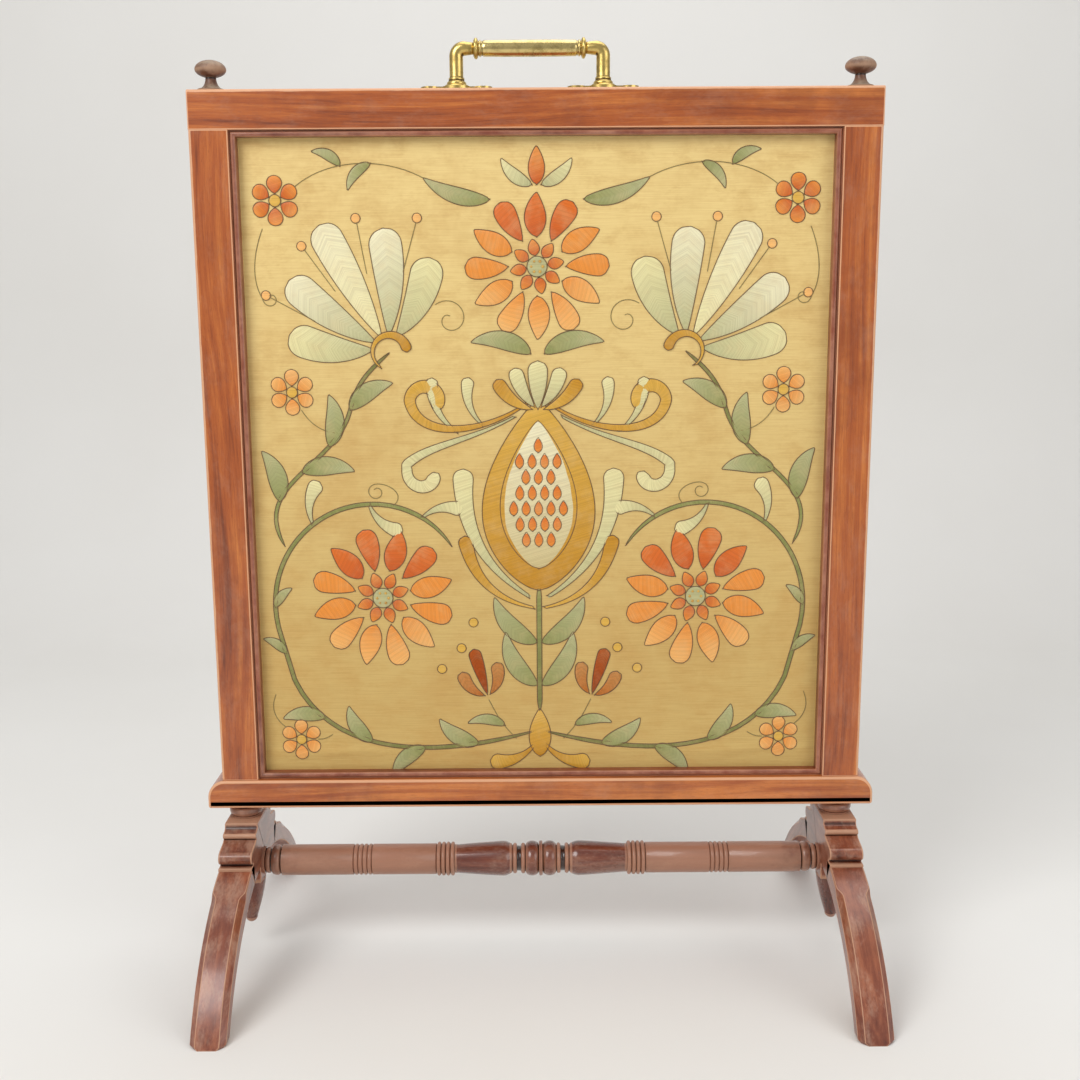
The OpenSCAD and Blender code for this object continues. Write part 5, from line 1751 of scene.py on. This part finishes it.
    def build(self, finishes: Finishes) -> None:
        """Makes the silk and the embroidery on it."""
        cover = self.cloth(finishes)
        right, middle = side_growth().joined(side_scrolls()), middle_growth()
        pattern = right.with_mirror().joined(middle)
        tree = stitch_tree()
        warm = {"rust", "flame", "orange", "peach"}
        shapes = [*pattern.lobes, *pattern.discs]
        flowers = [s for s in shapes if (s.tip if isinstance(s, Lobe) else s.dye) in warm]
        stems = [s for s in pattern.lobes if s.form is Form.STEM or s.vein]
        rest = [s for s in shapes if s not in flowers and s not in stems]
        for title, group in (("petals", flowers), ("leaves", stems), ("scrolls", rest)):
            self.satin(f"satin_{title}", group, finishes)
            lines = [(s.outline(), s.layer * self.layer_rise + 0.2) for s in group]
            self.stitched(f"outline_{title}", lines, finishes.outline, tree)
        cords = [(cord, 0.2) for cord in pattern.cords]
        self.stitched("tendrils", cords, finishes.tendril, tree)
        knots = polyline("seed_knots", [[self.on_silk(p, 1.1)] for p in pattern.knots])
        mesh = grown("seed_knots", knots, knot_tree(), {"Size": 2.6 * MM, "Material": finishes.knot})
        hand_over(new_object("seed_knots", mesh), "silk")


class SatinMesh:
    """Collects domed strips of stitches, with the dye and thread place of each vertex."""

    def __init__(self) -> None:
        """Starts empty."""
        self.points: list[Vector] = []
        self.dyes: list[tuple[float, float, float, float]] = []
        self.stitches: list[tuple[float, float, float]] = []
        self.faces: list[tuple[int, ...]] = []

    def vertex(self, point: Vector, dye: Colour, along: float) -> int:
        """Adds a vertex and returns its number."""
        self.points.append(point * MM)
        self.dyes.append(rgba(dye))
        self.stitches.append((along, 0.0, 0.0))
        return len(self.points) - 1

    def skin(self, rows: list[list[int]]) -> None:
        """Skins rows of vertices, and closes them underneath from edge to edge."""
        for low, high in zip(rows, rows[1:]):
            for a, b, c, d in zip(low, low[1:], high[1:], high):
                self.faces.append((a, b, c, d))
            self.faces.append((low[-1], low[0], high[0], high[-1]))

    def build(self, name: str) -> bpy.types.Mesh:
        """Makes the mesh, with its tips merged and its faces outwards."""
        mesh = bpy.data.meshes.new(name)
        mesh.from_pydata(self.points, [], self.faces)
        write_attribute(mesh, "dye", "FLOAT_COLOR", np.array(self.dyes))
        write_attribute(mesh, "stitch", "FLOAT_VECTOR", np.array(self.stitches))
        solid = bmesh.new()
        solid.from_mesh(mesh)
        bmesh.ops.remove_doubles(solid, verts=solid.verts, dist=0.004 * MM)
        bmesh.ops.dissolve_degenerate(solid, edges=solid.edges, dist=0.002 * MM)
        bmesh.ops.recalc_face_normals(solid, faces=solid.faces)
        solid.to_mesh(mesh)
        solid.free()
        mesh.shade_smooth()
        mesh.set_sharp_from_angle(angle=math.radians(75))
        return mesh


@dataclass
class Studio:
    """The floor, the backdrop, the lights and the camera."""

    camera_at: tuple[float, float, float] = (-1.3, -1140.4, 597.7)
    yaw: float = -0.12
    pitch: float = 10.44
    roll: float = -0.36
    focal_px: float = 1297.0
    frame_px: float = 1080.0
    sensor: float = 36.0
    floor_half: float = 3200.0
    wall_y: float = 1500.0
    wall_h: float = 3200.0
    sweep: float = 500.0
    lamps: tuple = (
        ("key", (-1300.0, -1500.0, 1900.0), 1300.0, 34.0),
        ("fill", (1700.0, -1300.0, 1100.0), 1500.0, 13.0),
        ("top", (200.0, 300.0, 2300.0), 1600.0, 16.0),
    )

    def backdrop(self) -> None:
        """A pale floor that sweeps up into a wall."""
        material, g, shader = new_material("pale paper")
        place = g.add("ShaderNodeTexCoord", out="Object")
        colour = g.mix(g.noise(place, 3.0, 3.0), rgba(srgb(226, 224, 220)), rgba(srgb(232, 231, 228)))
        dress(g, shader, {"Base Color": colour}, {"Roughness": 0.9, "Specular IOR Level": 0.1})
        profile = [(-self.floor_half, 0.0), (self.wall_y - self.sweep, 0.0)]
        profile += [
            (self.wall_y - self.sweep + self.sweep * math.sin(t), self.sweep * (1 - math.cos(t)))
            for t in (math.radians(9 * k) for k in range(1, 11))
        ]
        profile.append((self.wall_y, self.wall_h))
        points = [Vector((x, y, z)) * MM for y, z in profile for x in (-self.floor_half, self.floor_half)]
        faces = [(2 * i, 2 * i + 1, 2 * i + 3, 2 * i + 2) for i in range(len(profile) - 1)]
        mesh = bpy.data.meshes.new("paper_sweep")
        mesh.from_pydata(points, [], faces)
        mesh.shade_smooth()
        mesh.materials.append(material)
        new_object("paper_sweep", mesh)

    def light(self) -> None:
        """Area lamps aimed at the screen, in an even pale world."""
        target = Vector((0, 0, 400))
        for name, at, size, power in self.lamps:
            lamp = bpy.data.lights.new(name, "AREA")
            lamp.shape, lamp.size, lamp.energy = "SQUARE", size * MM, power
            holder = bpy.data.objects.new(name, lamp)
            bpy.context.scene.collection.objects.link(holder)
            holder.location = Vector(at) * MM
            holder.rotation_euler = (target - Vector(at)).to_track_quat("-Z", "Y").to_euler()
        world = bpy.data.worlds.new("studio")
        bpy.context.scene.world = world
        world.use_nodes = True
        world.node_tree.nodes.clear()
        g = Graph(world.node_tree)
        path = g.add("ShaderNodeLightPath").node
        seen = g.math("MAXIMUM", path.outputs["Is Camera Ray"], path.outputs["Is Transmission Ray"])
        strength = g.span(seen, 0.0, 1.0, 0.42, 0.9)
        sky = g.add("ShaderNodeBackground", {"Color": rgba((1.0, 1.0, 1.0)), "Strength": strength})
        out = world.node_tree.nodes.new("ShaderNodeOutputWorld")
        world.node_tree.links.new(sky, out.inputs["Surface"])

    def camera(self) -> None:
        """The camera at the photograph's place and angle."""
        data = bpy.data.cameras.new("camera")
        data.sensor_width = self.sensor
        data.lens = self.focal_px / self.frame_px * self.sensor
        data.clip_start, data.clip_end = 0.05, 50.0
        holder = bpy.data.objects.new("camera", data)
        bpy.context.scene.collection.objects.link(holder)
        turn = (
            Matrix.Rotation(math.radians(self.yaw), 4, "Z")
            @ Matrix.Rotation(math.radians(90 - self.pitch), 4, "X")
            @ Matrix.Rotation(math.radians(self.roll), 4, "Z")
        )
        holder.matrix_world = Matrix.Translation(Vector(self.camera_at) * MM) @ turn
        bpy.context.scene.camera = holder

    def build(self) -> None:
        """Sets up the studio."""
        self.camera()
        self.backdrop()
        self.light()
        bpy.context.scene.view_settings.view_transform = "Standard"


def dress_nodes(nodes: dict[str, bpy.types.Object], finishes: Finishes) -> None:
    """Gives the CAD nodes that stay their materials."""
    kept = {
        "back_board": finishes.back, "strainer_": finishes.pine, "leg_dowels": finishes.pine,
        "silk_tacks": finishes.steel, "back_brads": finishes.steel, "handle_rod": finishes.steel,
        "handle_plate_": finishes.brass, "handle_screws": finishes.brass,
    }
    for name, node in nodes.items():
        for start, finish in kept.items():
            if name.startswith(start):
                node.data.materials.clear()
                node.data.materials.append(finish)
                LOG.info("%s keeps its CAD shape, in %s", name, finish.name)


def main() -> None:
    """Builds the screen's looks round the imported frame."""
    logging.basicConfig(level=logging.INFO, format="%(name)s: %(message)s")
    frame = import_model()
    Studio().build()
    finishes = Finishes()
    turner = Turner()
    FrameWood().build(finishes)
    Mouldings().build(finishes)
    SilkPanel().build(finishes)
    Finials().build(finishes, turner)
    CarryingHandle().build(finishes, turner)
    for side in ("left", "right"):
        TrestleEnd(side).build(finishes, turner)
    Stretcher().build(finishes, turner)
    dress_nodes(frame["nodes"], finishes)


if __name__ == "__main__":
    main()
